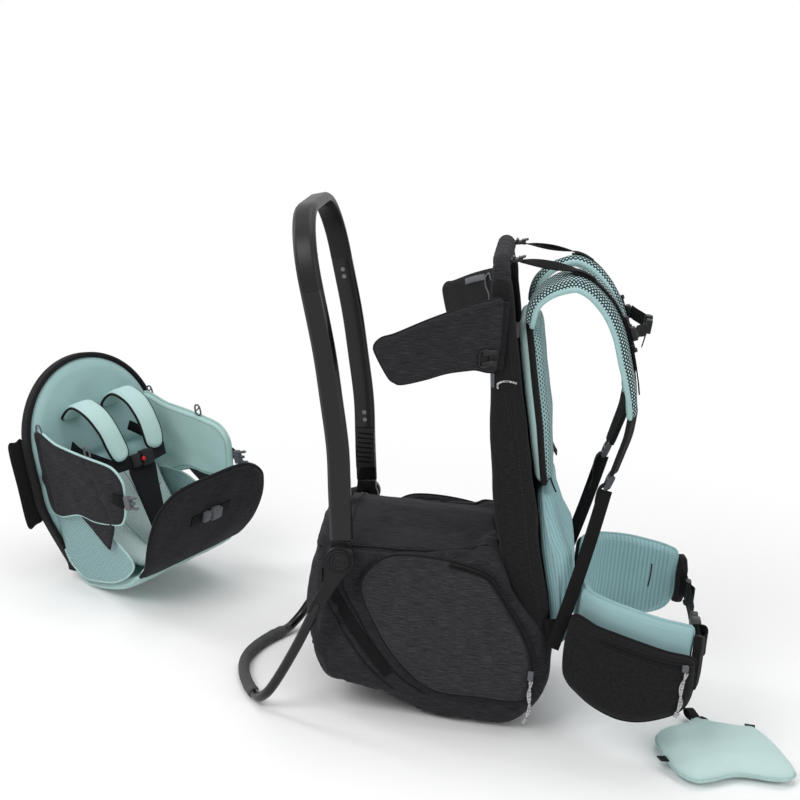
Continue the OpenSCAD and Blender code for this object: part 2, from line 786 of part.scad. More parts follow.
on_side(1) pocket_slider();  // pocket_slider_left
on_side(1) pocket_pull();  // pocket_pull_left
on_side(-1) hip_slider();
on_side(-1) hip_pull();
seat_back();
seat_binding();
seat_sides();
seat_bottom();
seat_front();
seat_harness();
seat_hooks();
seat_buckles();
pillow_pad();
pillow_loop();
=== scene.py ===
"""Child carrier backpack: the looks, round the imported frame.
Lengths are millimetres until piece() and zip_pull() turn them into metres.
+X forward, +Y the wearer's left, +Z up."""

import math

import bmesh
import bpy
import numpy as np
from mathutils import Matrix, Vector, noise
from mathutils.bvhtree import BVHTree
from mathutils.geometry import delaunay_2d_cdt


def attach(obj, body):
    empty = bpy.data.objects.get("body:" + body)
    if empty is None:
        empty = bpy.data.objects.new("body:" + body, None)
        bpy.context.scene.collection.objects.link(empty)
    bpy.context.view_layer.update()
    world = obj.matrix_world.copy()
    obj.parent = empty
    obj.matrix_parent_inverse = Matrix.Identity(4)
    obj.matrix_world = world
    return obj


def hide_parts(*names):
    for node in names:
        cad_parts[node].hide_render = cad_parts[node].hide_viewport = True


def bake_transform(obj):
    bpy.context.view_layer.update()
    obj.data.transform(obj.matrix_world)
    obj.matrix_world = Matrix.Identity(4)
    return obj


MM = 0.001
SIDES = {"right": -1, "left": 1}
HARD_ANGLE, SOFT_ANGLE = 38, 60  # degrees at which an edge shows as a crease, on hard and on soft pieces
WEB_CORNER = {1.6: 0.7, 1.7: 0.8, 1.8: 0.8, 1.9: 0.8, 2.2: 1.0}  # corner radius of webbing by its thickness
STITCH_PITCH, SEAM_PITCH = 3.4, 3.6
TOOTH_PITCH = 1.9

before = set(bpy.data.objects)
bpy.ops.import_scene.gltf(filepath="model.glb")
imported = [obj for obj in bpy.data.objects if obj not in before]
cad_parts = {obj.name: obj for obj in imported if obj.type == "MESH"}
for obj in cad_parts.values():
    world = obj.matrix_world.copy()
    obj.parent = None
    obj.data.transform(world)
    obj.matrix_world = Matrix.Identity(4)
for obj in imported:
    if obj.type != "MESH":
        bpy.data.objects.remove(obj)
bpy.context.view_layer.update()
scene = bpy.context.scene


def once(node, s):
    """A CAD node that covers both sides is replaced by the right side's piece."""
    return (node,) if s < 0 else ()


# ---------- curves and meshes ----------
def arr(p):
    """Numbers as an array."""
    return np.asarray(p, float)


def unit(v):
    """Vectors at length 1."""
    v = arr(v)
    return v / np.maximum(np.linalg.norm(v, axis=-1, keepdims=True), 1e-12)


def curve(points, step, closed=False):
    """A smooth curve through points, cut into even steps of about step."""
    p = arr(points)
    n = len(p)
    at = (lambda i: i % n) if closed else (lambda i: min(max(i, 0), n - 1))
    t = np.linspace(0, 1, 16, endpoint=False)[:, None]
    spans = []
    for i in range(n if closed else n - 1):
        a, b, c, d = (p[at(i + k)] for k in (-1, 0, 1, 2))
        square, cube = 2 * a - 5 * b + 4 * c - d, 3 * b - a - 3 * c + d
        spans.append(0.5 * (2 * b + t * (c - a) + t**2 * square + t**3 * cube))
    spans.append(p[0 if closed else -1][None])
    return even(np.vstack(spans), step, closed)


def even(q, step, closed=False):
    """A polyline cut into even steps."""
    q = arr(q)
    s = lengths(q)
    at = np.linspace(0, s[-1], max(int(round(s[-1] / step)), 2) + 1)
    r = np.stack([np.interp(at, s, q[:, k]) for k in range(q.shape[1])], 1)
    return r[:-1] if closed else r


def lengths(q):
    """Length run at each point of a polyline."""
    return np.concatenate([[0], np.cumsum(np.linalg.norm(np.diff(q, axis=0), axis=1))])


def tangents(p, closed=False):
    """Unit directions along a polyline."""
    return unit(np.roll(p, -1, 0) - np.roll(p, 1, 0) if closed else np.gradient(p, axis=0))


def area_of(outline):
    """Twice the area of a flat outline, positive when it runs anticlockwise."""
    q = np.roll(outline, -1, 0)
    return np.sum(outline[:, 0] * q[:, 1] - outline[:, 1] * q[:, 0])


def inwards(outline):
    """Unit normals of a closed flat outline, pointing into it."""
    t = tangents(outline, True)
    return np.stack([-t[:, 1], t[:, 0]], 1) * (1 if area_of(outline) > 0 else -1)


def grid(points, closed_u=False, closed_v=True, caps=True):
    """A mesh from rows of points: (verts, faces, uv of each face corner)."""
    p = arr(points)
    n, m = p.shape[:2]
    ring = np.concatenate([p, p[:, :1]], 1) if closed_v else p
    across = np.concatenate([[0], np.cumsum(np.linalg.norm(np.diff(ring, axis=1), axis=2).mean(0))])
    rows = np.concatenate([p, p[:1]], 0) if closed_u else p
    down = np.concatenate([[0], np.cumsum(np.linalg.norm(np.diff(rows, axis=0), axis=2).mean(1))])
    faces, uv = [], []
    for i in range(n if closed_u else n - 1):
        for j in range(m if closed_v else m - 1):
            k, l = (i + 1) % n, (j + 1) % m
            faces.append((i * m + j, i * m + l, k * m + l, k * m + j))
            (left, right), (high, low) = across[j : j + 2], down[i : i + 2]
            uv += [(left, high), (right, high), (right, low), (left, low)]
    if caps and closed_v and not closed_u:
        for i, d in ((0, down[0]), (n - 1, down[-1])):
            faces.append([i * m + j for j in range(m)])
            uv += [(across[j], d) for j in range(m)]
    return p.reshape(-1, 3), faces, arr(uv)


def sweep(path, across, profile, closed=False, caps=True):
    """Profile points (a, b) carried along a path: a along across, b along the normal."""
    p = arr(path)
    t = tangents(p, closed)
    w = np.broadcast_to(arr(across), p.shape)
    w = unit(w - t * (w * t).sum(1, keepdims=True))
    n = np.cross(t, w)
    prof = arr(profile)
    if prof.ndim == 2:
        prof = np.broadcast_to(prof, (len(p), *prof.shape))
    return grid(p[:, None] + prof[..., :1] * w[:, None] + prof[..., 1:] * n[:, None], closed, True, caps)


def rounded(w, t, r=None, steps=3):
    """Outline of a rounded rectangle w across and t thick."""
    r = min(w, t) / 2 * 0.98 if r is None else r
    out = []
    x, y = w / 2 - r, t / 2 - r
    for cx, cy, a0 in ((x, y, 0), (-x, y, 90), (-x, -y, 180), (x, -y, 270)):
        for k in range(steps + 1):
            a = math.radians(a0 + 90 * k / steps)
            out.append((cx + r * math.cos(a), cy + r * math.sin(a)))
    return out


def tube(path, radius, sides=12, closed=False, taper=None):
    """Round tube; taper gives a factor on the radius at each point."""
    p = arr(path)
    t = tangents(p, closed)
    w = np.cross(t[0], (0, 0, 1) if abs(t[0][2]) < 0.9 else (1, 0, 0))
    ws = []
    for k in t:
        w = unit(w - k * (w @ k))
        ws.append(w)
    turn = [2 * math.pi * k / sides for k in range(sides)]
    ring = arr([(math.cos(a), math.sin(a)) for a in turn]) * radius
    prof = np.broadcast_to(ring, (len(p), sides, 2)) * (1 if taper is None else arr(taper)[:, None, None])
    return sweep(p, arr(ws), prof, closed)


def webbing(path, across, width, thick=1.6):
    """A flat woven strap along a path."""
    return sweep(path, across, rounded(width, thick, WEB_CORNER[thick], 2))


def together(*made):
    """Several meshes as one."""
    verts, faces, uv, n = [], [], [], 0
    for v, f, c in made:
        verts.append(arr(v))
        faces += [[i + n for i in face] for face in f]
        uv.append(arr(c))
        n += len(v)
    return np.vstack(verts), faces, np.vstack(uv)


def corners(verts, faces, uv):
    """A uv for each vertex turned into one for each face corner."""
    uv = arr(uv)
    return verts, faces, np.vstack([uv[list(f)] for f in faces])


def mirrored(made):
    """A mesh on the other side, with its faces turned back."""
    v, f, c = made
    return arr(v) * (1, -1, 1), [list(x)[::-1] for x in f], flipped_corners(f, c)


def flipped_corners(faces, uv):
    """The uv of each face's corners, in reverse order."""
    out, k = [], 0
    for f in faces:
        out += list(uv[k : k + len(f)][::-1])
        k += len(f)
    return arr(out)


def side_of(made, s):
    """A mesh made for the right side, on side s."""
    return made if s < 0 else mirrored(made)


def plate(outline, at, x, y, thick, bevel=1.0):
    """A moulded plate: an outline in the plane of x and y, centred on its thickness, with rounded edges."""
    x, y = unit(x), unit(y)
    n = np.cross(x, y)
    bm = bmesh.new()
    base = [bm.verts.new(arr(at) + p[0] * x + p[1] * y - n * thick / 2) for p in outline]
    face = bm.faces.new(base)
    top = bmesh.ops.extrude_face_region(bm, geom=[face])["geom"]
    bmesh.ops.translate(bm, verts=[g for g in top if isinstance(g, bmesh.types.BMVert)], vec=n * thick)
    bmesh.ops.recalc_face_normals(bm, faces=bm.faces)
    sharp = [e for e in bm.edges if len(e.link_faces) == 2 and e.calc_face_angle() > 0.5]
    bmesh.ops.bevel(bm, geom=sharp, offset=bevel, segments=2, profile=0.6, affect="EDGES", clamp_overlap=True)
    bm.verts.ensure_lookup_table()
    verts = arr([v.co[:] for v in bm.verts])
    faces = [[v.index for v in f.verts] for f in bm.faces]
    bm.free()
    flat = np.stack([(verts - arr(at)) @ x, (verts - arr(at)) @ y + (verts - arr(at)) @ n], 1)
    return corners(verts, faces, flat)


def bar(a, b, across, w, t, bevel=1.0):
    """A rounded bar from a to b."""
    a, b = arr(a), arr(b)
    h = np.linalg.norm(b - a) / 2
    return plate([(-h, -w / 2), (h, -w / 2), (h, w / 2), (-h, w / 2)], (a + b) / 2, b - a, across, t, bevel)


CHUNK = 4000  # points handled at once, to keep the arrays small


def to_lines(p, lines):
    """Distance from each point to the nearest of some polylines."""
    best = np.full(len(p), 1e9)
    for line in lines:
        a, b = arr(line[:-1]), arr(line[1:])
        for i in range(0, len(p), CHUNK):
            q = p[i : i + CHUNK, None] - a
            d = b - a
            t = np.clip((q * d).sum(2) / np.maximum((d * d).sum(1), 1e-9), 0, 1)
            near = np.linalg.norm(q - t[..., None] * d, axis=2).min(1)
            best[i : i + CHUNK] = np.minimum(best[i : i + CHUNK], near)
    return best


def inside(p, outline):
    """True for each point inside a flat outline."""
    x, y = p[:, 0], p[:, 1]
    a, b = arr(outline), np.roll(arr(outline), -1, 0)
    hit = np.zeros(len(p), bool)
    for (ax, ay), (bx, by) in zip(a, b):
        if ay != by:
            hit ^= ((ay > y) != (by > y)) & (x < (bx - ax) * (y - ay) / (by - ay) + ax)
    return hit


def dome(d, r):
    """0 at the edge, 1 from r inwards, round between."""
    k = 1 - np.clip(d / r, 0, 1)
    return np.sqrt(np.clip(1 - k * k, 0, 1))


class Quilt:
    """A padded panel: a flat outline, a front and a back height, and seams pressed into it.
    place(uv, h) puts it in space."""

    def __init__(
        self, outline, place, front, back, step=5.0, edge=8.0, seams=(), dent=2.5, dent_w=5.0, wobble=0.0,
        seed=0
    ):
        self.place, self.edge, self.dent, self.dent_w = place, edge, dent, dent_w
        self.front_h, self.back_h, self.wobble, self.seed = front, back, wobble, seed
        self.outline = curve(outline, step, True)
        self.loop = np.vstack([self.outline, self.outline[:1]])
        self.seams = [curve(s, step) for s in seams]
        lo, hi = self.outline.min(0), self.outline.max(0)
        rings = []
        normal = inwards(self.outline)
        for share in (0.1, 0.35, 0.7):
            ring = self.outline + normal * edge * share
            keep = inside(ring, self.outline) & (to_lines(ring, [self.loop]) > edge * share * 0.95)
            rings.append(ring[keep])
        xs = np.arange(lo[0], hi[0], step)
        ys = np.arange(lo[1], hi[1], step * 0.87)
        mesh = arr([(x + (step / 2 if j % 2 else 0), y) for j, y in enumerate(ys) for x in xs])
        mesh = mesh[inside(mesh, self.outline)]
        mesh = mesh[to_lines(mesh, [self.loop]) > edge * 0.7 + step * 0.45]
        if self.seams:
            mesh = mesh[to_lines(mesh, self.seams) > step * 0.5]
            line = np.vstack(self.seams)
            line = line[inside(line, self.outline)]
            rings.append(line[to_lines(line, [self.loop]) > step * 0.6])
        n = len(self.outline)
        flat = np.vstack([self.outline, *rings, mesh])
        flat = np.vstack([flat[:n], thin(flat[n:], step * 0.3)])
        made = delaunay_2d_cdt([Vector(p) for p in flat], [(i, (i + 1) % n) for i in range(n)], [], 1, 1e-4)
        self.flat = arr([v[:] for v in made[0]])
        tris = made[2]
        m = len(self.flat)
        d = to_lines(self.flat, [self.loop])
        rim = d < 1e-3
        back_at = np.where(rim, np.arange(m), -1)
        inner = np.flatnonzero(~rim)
        back_at[inner] = m + np.arange(len(inner))
        top = self.height(self.flat, self.front_h)
        low = self.height(self.flat, self.back_h, -1)
        pts = np.vstack([self.flat, self.flat[inner]])
        h = np.concatenate([np.where(rim, (top + low) / 2, top), low[inner]])
        self.faces = [list(f) for f in tris] + [[back_at[i] for i in f][::-1] for f in tris]
        self.verts = place(pts, h)
        near = np.array([int(np.argmin(((self.outline - q) ** 2).sum(1))) for q in self.flat])
        full = arr(front(self.flat) if callable(front) else np.full(m, float(front)))
        run = np.clip(full * (1 - dome(d, edge)), 0, 2 * edge)[:, None] * normal[near]
        self.uv = np.vstack([self.flat - run, (self.flat - run)[inner]])

    def height(self, p, amount, sign=1):
        p = arr(p)
        d = to_lines(p, [self.loop])
        h = amount(p) if callable(amount) else np.full(len(p), float(amount))
        h = h * dome(d, self.edge)
        if self.seams and sign > 0:
            s = to_lines(p, self.seams)
            h = h - self.dent * np.exp(-((s / self.dent_w) ** 2)) * np.clip(d / 6, 0, 1)
        if self.wobble:
            k = arr([noise.noise(Vector((u / 38 + self.seed, v / 38, self.seed * 1.7))) for u, v in p])
            h = h + self.wobble * k * np.clip(d / 15, 0, 1)
        return h if sign > 0 else -h

    def made(self):
        return corners(self.verts, self.faces, self.uv)

    def on(self, line, lift=0.0, sign=1):
        """Points of a flat line, on the panel's surface."""
        p = arr(line)
        return self.place(p, self.height(p, self.front_h if sign > 0 else self.back_h, sign) + sign * lift)

    def band(self, line, lift, profile, sign=1):
        """A flat band along a line, lift off the surface."""
        p = self.on(line, lift, sign)
        up = self.on(line, lift + 1, sign) - p
        return sweep(p, np.cross(up, tangents(p)), profile)

    def stitches(self, line, sign=1):
        p = even(curve(line, 3.0), STITCH_PITCH)
        return stitch_row(self.on(p, 0.15, sign), self.on(p, 1.15, sign) - self.on(p, 0.15, sign))

    def hems(self, front, back):
        """Stitches inside the outline: front and back are how far in, on each face."""
        return together(self.stitches(self.ring(front)), self.stitches(self.ring(back), sign=-1))

    def ring(self, inset):
        """The outline moved inwards."""
        p = curve(self.outline, 4.0, True)
        q = p + inwards(p) * inset
        return q[to_lines(q, [self.loop]) > abs(inset) * 0.93]

    def piping(self, r, h=0.0, sides=8):
        """A cord along the outline."""
        p = self.loop[:-1]
        mid = (self.height(p, self.front_h) + self.height(p, self.back_h, -1)) / 2
        return tube(self.place(p, mid + h), r, sides, True)


def thin(p, gap):
    """Points with near repeats left out."""
    seen, keep = {}, []
    for i, (x, y) in enumerate(p):
        key = (round(x / gap), round(y / gap))
        near = [(key[0] + a, key[1] + b) for a in (-1, 0, 1) for b in (-1, 0, 1)]
        if any(k in seen and np.hypot(*(p[seen[k]] - p[i])) < gap for k in near):
            continue
        seen[key] = i
        keep.append(i)
    return p[keep]


THREAD_FACES = ((0, 2, 3, 1), (2, 4, 5, 3), (4, 6, 7, 5), (0, 1, 7, 6), (0, 6, 4, 2), (1, 3, 5, 7))


def stitch_row(points, normals, length=2.3, r=0.32):
    """Short raised threads, one between each two points."""
    p, n = arr(points), unit(normals)
    t = unit(np.diff(p, axis=0))
    mid = (p[:-1] + p[1:]) / 2
    n = unit(n[:-1] + n[1:])
    w = np.cross(t, n)
    verts, faces = [], []
    for k in range(len(mid)):
        base = len(verts)
        for a, b in ((-0.5, 0.25), (-0.3, 1), (0.3, 1), (0.5, 0.25)):
            for c in (-1, 1):
                verts.append(mid[k] + t[k] * a * length + n[k] * r * (b - 0.2) + w[k] * c * r)
        faces += [[base + i for i in f] for f in THREAD_FACES]
    return corners(verts, faces, np.zeros((len(verts), 2)))


def piece(name, made, look, body, replaces=(), angle=HARD_ANGLE, subdivide=0):
    verts, faces, uv = made
    mesh = bpy.data.meshes.new(name)
    mesh.from_pydata((arr(verts) * MM).tolist(), [], [list(f) for f in faces])
    layer = mesh.uv_layers.new(name="flat")
    layer.data.foreach_set("uv", (arr(uv) * MM).astype(np.float32).ravel())
    bm = bmesh.new()
    bm.from_mesh(mesh)
    bmesh.ops.recalc_face_normals(bm, faces=bm.faces)
    bm.to_mesh(mesh)
    bm.free()
    mesh.shade_smooth()
    mesh.set_sharp_from_angle(angle=math.radians(angle))
    obj = bpy.data.objects.new(name, mesh)
    scene.collection.objects.link(obj)
    mesh.materials.append(LOOKS[look][0])
    if subdivide:
        obj.modifiers.new("smooth", "SUBSURF").levels = subdivide
        obj.modifiers["smooth"].render_levels = subdivide
    if replaces:
        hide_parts(*replaces)
    if isinstance(body, str):
        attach(obj, body)
    else:
        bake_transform(obj)
    return obj


def two_looks(obj, look, first):
    """The faces from first on take a second look."""
    obj.data.materials.append(LOOKS[look][0])
    kinds = np.zeros(len(obj.data.polygons), np.int32)
    kinds[first:] = 1
    obj.data.polygons.foreach_set("material_index", kinds)


def cushion(name, quilt, look, body, replaces=(), back=None):
    """A quilt as a soft piece. back is a second look, for its rear faces."""
    obj = piece(name, quilt.made(), look, body, replaces, SOFT_ANGLE, 1)
    if back:
        two_looks(obj, back, len(quilt.faces) // 2)


# ---------- materials ----------
class Look:
    """A procedural material on the mesh's own flat coordinates, in metres, or on object coordinates."""

    def __init__(self, name, rough, metallic=0.0, spec=0.5, sheen=0.0, flat=True):
        self.name = name
        self.mat = bpy.data.materials.new("look_" + name)
        self.mat.use_nodes = True
        self.tree = self.mat.node_tree
        self.bsdf = self.tree.nodes["Principled BSDF"]
        self.bsdf.inputs["Roughness"].default_value = rough
        self.bsdf.inputs["Metallic"].default_value = metallic
        self.bsdf.inputs["Specular IOR Level"].default_value = spec
        if sheen:
            self.bsdf.inputs["Sheen Weight"].default_value = sheen
            self.bsdf.inputs["Sheen Roughness"].default_value = 0.5
        if flat:
            self.at = self.add("ShaderNodeUVMap")
            self.at.uv_map = "flat"
            self.at = self.at.outputs["UV"]
        else:
            self.at = self.add("ShaderNodeTexCoord").outputs["Object"]
        self.bumps = []

    def add(self, kind, **inputs):
        node = self.tree.nodes.new(kind)
        for k, v in inputs.items():
            self.put(node.inputs[k.replace("_", " ")], v)
        return node

    def put(self, socket, value):
        if isinstance(value, bpy.types.NodeSocket):
            self.tree.links.new(value, socket)
        else:
            socket.default_value = value

    def math(self, op, a, b=0.0, c=0.0):
        node = self.add("ShaderNodeMath")
        node.operation = op
        for i, v in enumerate((a, b, c)):
            self.put(node.inputs[i], v)
        return node.outputs[0]

    def noise(self, scale, stretch=(1, 1, 1), detail=2.0, rough=0.5):
        place = self.add("ShaderNodeMapping", Vector=self.at, Scale=stretch)
        grain = {"Vector": place.outputs[0], "Scale": scale, "Detail": detail, "Roughness": rough}
        return self.add("ShaderNodeTexNoise", **grain).outputs["Fac"]

    def ramp(self, value, *stops):
        node = self.add("ShaderNodeValToRGB", Fac=value)
        e = node.color_ramp.elements
        while len(e) < len(stops):
            e.new(0.5)
        for i, (at, c) in enumerate(stops):
            e[i].position = at
            e[i].color = (*c, 1) if hasattr(c, "__len__") else (c, c, c, 1)
        return node.outputs[0]

    def mix(self, share, a, b):
        node = self.add("ShaderNodeMix")
        node.data_type = "RGBA"
        self.put(node.inputs["Factor"], share)
        self.put(node.inputs["A"], (*a, 1) if isinstance(a, tuple) else a)
        self.put(node.inputs["B"], (*b, 1) if isinstance(b, tuple) else b)
        return node.outputs["Result"]

    def split(self):
        node = self.add("ShaderNodeSeparateXYZ", Vector=self.at)
        return node.outputs[0], node.outputs[1]

    def wave(self, value, pitch, power=1.0):
        """Ridges 0 to 1 along a coordinate, a pitch in metres apart."""
        w = self.math("ABSOLUTE", self.math("SINE", self.math("MULTIPLY", value, math.pi / pitch)))
        return w if power == 1.0 else self.math("POWER", w, power)

    def weave(self, pitch):
        """Over and under of a plain weave, 0 to 1."""
        u, v = self.split()
        a = self.math("SINE", self.math("MULTIPLY", u, 2 * math.pi / pitch))
        b = self.math("SINE", self.math("MULTIPLY", v, 2 * math.pi / pitch))
        return self.math("MULTIPLY_ADD", self.math("MULTIPLY", a, b), 0.5, 0.5)

    def dots(self, pitch, cover):
        """Dots on a hexagonal lattice: 1 in a dot, 0 between."""
        u, v = self.split()
        k = 4 * math.pi / (math.sqrt(3) * pitch)
        total = self.math("COSINE", self.math("MULTIPLY", u, k))
        for s in (1, -1):
            d = self.math("MULTIPLY_ADD", u, -0.5 * k, self.math("MULTIPLY", v, s * 0.866 * k))
            total = self.math("ADD", total, self.math("COSINE", d))
        node = self.add("ShaderNodeMapRange", Value=total, From_Min=cover - 0.35, From_Max=cover + 0.35)
        return node.outputs[0]

    def bump(self, height, distance, strength=1.0):
        self.bumps.append((height, distance, strength))

    def done(self, colour, slot):
        self.put(self.bsdf.inputs["Base Color"], (*colour, 1) if isinstance(colour, tuple) else colour)
        normal = None
        for height, distance, strength in self.bumps:
            node = self.add("ShaderNodeBump", Height=height, Distance=distance, Strength=strength)
            if normal is not None:
                self.put(node.inputs["Normal"], normal)
            normal = node.outputs[0]
        if normal is not None:
            self.put(self.bsdf.inputs["Normal"], normal)
        LOOKS[self.name] = (self.mat, slot)


LOOKS = {}


def heather_look(name, slot, dark, light, streak=(45, 1500, 1), flat=True):
    k = Look(name, 0.92, spec=0.12, sheen=0.04, flat=flat)
    long = k.noise(1.0, streak, 3.0, 0.6)
    fine = k.noise(1.0, (streak[0] * 4, streak[1] * 2, 500), 1.0)
    share = k.math("MULTIPLY_ADD", long, 0.7, k.math("MULTIPLY", fine, 0.3))
    tone = k.ramp(
        share, (0.38, dark), (0.5, tuple((a + b) * 0.36 for a, b in zip(dark, light))), (0.66, light)
    )
    k.bump(k.weave(0.0012), 0.0003, 0.5)
    k.bump(share, 0.0005, 0.4)
    k.done(k.mix(k.math("MULTIPLY", k.noise(9.0), 0.3), tone, dark), slot)


heather_look("heather", "heather_fabric", (0.009, 0.009, 0.011), (0.078, 0.078, 0.086))
heather_look("heather_up", "heather_fabric", (0.008, 0.008, 0.010), (0.056, 0.056, 0.062))
heather_look("sleeve_cloth", "black_fabric", (0.008, 0.008, 0.0085), (0.023, 0.023, 0.025), (160, 700, 1))


def plain_look(name, slot, colour, rough=0.9, pitch=0.0011, deep=0.0003, spread=0.35, sheen=0.04, spec=0.15):
    """Plain woven or knitted cloth."""
    k = Look(name, rough, spec=spec, sheen=sheen)
    k.bump(k.weave(pitch), deep, 0.6)
    k.bump(k.noise(60.0), 0.0012, 0.25)
    pale = tuple(min(1.0, c * (1 + spread)) for c in colour)
    dim = tuple(c * (1 - spread) for c in colour)
    k.done(k.ramp(k.noise(220.0, detail=3.0), (0.3, dim), (0.7, pale)), slot)


plain_look("black_cloth", "black_fabric", (0.009, 0.009, 0.010))
plain_look("binding", "black_fabric", (0.007, 0.007, 0.0075), 0.8, 0.0009)
plain_look("thread", "black_fabric", (0.024, 0.024, 0.026), 0.7, 0.0006)
plain_look("pale_thread", "teal_fabric", (0.42, 0.60, 0.585), 0.7, 0.0006, spread=0.1)
plain_look("velcro", "black_fabric", (0.008, 0.008, 0.009), 0.98, 0.0018, 0.0009)


def knit_look(name, slot, colour, pitch=0.0021, shade=0.86, deep=0.0004):
    """Fine knit in rows of little dents, over foam, with painted shade in the dents."""
    k = Look(name, 0.88, spec=0.2, sheen=0.1)
    spots = k.dots(pitch, 1.1)
    soft = k.noise(24.0, detail=1.0)
    k.bump(k.math("SUBTRACT", 1.0, spots), deep, 0.5)
    k.bump(soft, 0.0025, 0.2)
    # Painted shade: the dents take the colour times shade.
    dim = tuple(c * shade for c in colour)
    tone = k.mix(spots, colour, dim)
    k.done(k.mix(k.math("MULTIPLY", k.noise(90.0), 0.22), tone, tuple(c * 0.8 for c in colour)), slot)


knit_look("teal_knit", "teal_fabric", (0.47, 0.665, 0.645))
# Painted shade: a darker copy of the teal knit, for the seat back pad and the strap rolls.
knit_look("teal_knit_shaded", "teal_fabric", (0.35, 0.53, 0.53))
# Painted shade: a still darker copy of the teal knit, for the near hip pad, the hip edges and the lumbar
# edge.
knit_look("teal_knit_deep_shaded", "teal_fabric", (0.30, 0.47, 0.49))
# The seat wings' inner knit, made paler as painted light on faces that lie in shade.
knit_look("teal_inner_lit", "teal_fabric", (0.50, 0.71, 0.69), 0.0030, 0.82, 0.0008)


def ribbed_look(name, slot, colour, dim, pitch, deep):
    """Knit with ribs across the flat's first coordinate, with painted shade in the grooves between the ribs.
    """
    k = Look(name, 0.88, spec=0.15, sheen=0.08)
    u, _ = k.split()
    rib = k.wave(u, pitch)
    k.bump(rib, deep, 0.8)
    k.bump(k.weave(0.0014), 0.0003, 0.4)
    # Painted shade: dim in the grooves, colour on the rib tops.
    k.done(
        k.mix(k.math("MULTIPLY_ADD", rib, 0.8, k.math("MULTIPLY", k.noise(150.0), 0.2)), dim, colour),
        slot
    )


# The second colour of the teal cord is the painted shade in its grooves.
ribbed_look("teal_cord", "teal_fabric", (0.31, 0.50, 0.52), (0.20, 0.36, 0.385), 0.0072, 0.0010)


def mesh_look(name, slot, thread, hole, pitch, cover, deep=0.0008):
    """Spacer mesh: thread with holes that show what is behind, their colour partly painted shade in the
    holes.
    """
    k = Look(name, 0.8, spec=0.15, sheen=0.04)
    spots = k.dots(pitch, cover)
    k.bump(k.math("SUBTRACT", 1.0, spots), deep, 0.8)
    tone = k.ramp(k.noise(300.0), (0.3, tuple(c * 0.8 for c in thread)), (0.7, thread))
    k.done(k.mix(spots, tone, hole), slot)


# Painted shade: the pad and side mesh holes are set dark, partly for the shade in the holes; the strap mesh's
# pale holes are the teal layer behind it.
mesh_look("pad_mesh", "teal_mesh", (0.33, 0.49, 0.50), (0.02, 0.04, 0.045), 0.0062, 0.75)
mesh_look("strap_mesh", "dark_mesh", (0.022, 0.05, 0.056), (0.56, 0.72, 0.72), 0.0054, 0.66, 0.0008)
mesh_look("side_mesh", "teal_mesh", (0.36, 0.54, 0.545), (0.10, 0.18, 0.19), 0.0042, 0.7)


def webbing_look(name, slot, colour):
    k = Look(name, 0.7, spec=0.1)
    u, v = k.split()
    ribs = k.wave(v, 0.0013)
    k.bump(ribs, 0.0004, 0.7)
    k.bump(k.wave(u, 0.0032, 0.5), 0.0003, 0.6)
    # Painted sheen: the rib tops are flecked paler than the grooves.
    pale = tuple(c * 1.8 for c in colour)
    k.done(k.mix(k.math("MULTIPLY", ribs, k.noise(400.0)), colour, pale), slot)


webbing_look("webbing", "webbing", (0.0055, 0.0055, 0.006))


def hard_look(
    name, slot, colour, rough, grain=0.00012, metallic=0.0, coat=0.0, flat=False, wear=0.12, spec=0.3
):
    """Moulded plastic, rubber or painted metal: fine grain, slightly uneven gloss."""
    k = Look(name, rough, metallic, spec, flat=flat)
    if coat:
        k.bsdf.inputs["Coat Weight"].default_value = coat
        k.bsdf.inputs["Coat Roughness"].default_value = 0.06
    k.bump(k.noise(900.0, detail=1.0), grain, 0.4)
    uneven = k.noise(35.0, detail=3.0)
    k.put(k.bsdf.inputs["Roughness"], k.math("MULTIPLY_ADD", uneven, wear, rough - wear / 2))
    pale = tuple(c * 1.35 for c in colour)
    k.done(k.ramp(k.noise(140.0, detail=4.0), (0.35, colour), (0.75, pale)), slot)


hard_look("gloss", "gloss_black", (0.004, 0.004, 0.0042), 0.24, 0.00002, coat=0.12, wear=0.05)
hard_look("satin", "satin_dark", (0.007, 0.007, 0.0075), 0.4, 0.00004, spec=0.24)
hard_look("hub_plastic", "satin_dark", (0.007, 0.007, 0.0075), 0.5, 0.0001, spec=0.22)
hard_look("black_plastic", "black_plastic", (0.007, 0.007, 0.0075), 0.4)
hard_look("grey_plastic", "grey_plastic", (0.085, 0.09, 0.10), 0.45)
hard_look("mid_plastic", "grey_plastic", (0.045, 0.047, 0.052), 0.45)
hard_look("rubber", "rubber_foot", (0.05, 0.05, 0.052), 0.75, 0.0003)
hard_look("steel", "screw_steel", (0.16, 0.16, 0.17), 0.35, metallic=0.8)
hard_look("alloy", "frame_tube", (0.35, 0.35, 0.36), 0.35, metallic=0.9)


def cord_look():
    k = Look("cord", 0.8, spec=0.3)
    u, v = k.split()
    twist = k.wave(k.math("MULTIPLY_ADD", u, 0.5, v), 0.0019)
    fleck = k.noise(1.0, (330, 330, 1), 1.0)
    k.bump(twist, 0.0005, 0.7)
    share = k.math("MULTIPLY_ADD", twist, 0.35, k.math("MULTIPLY", fleck, 0.7))
    k.done(k.ramp(share, (0.50, 0.008), (0.57, 0.12), (0.63, 0.72)), "cord")


cord_look()


def zip_look():
    """Zip tape with a row of coils down its middle, with a painted highlight on each coil's crown: the flat's
    first coordinate runs across.
    """
    k = Look("zip", 0.6, spec=0.15)
    _, v = k.split()
    k.bump(k.wave(v, 0.0016, 0.5), 0.0009, 0.9)
    # Painted highlight: the coils' crowns paler, darker between them.
    k.done(k.mix(k.wave(v, 0.0016), (0.004, 0.004, 0.004), (0.014, 0.014, 0.015)), "webbing")


zip_look()


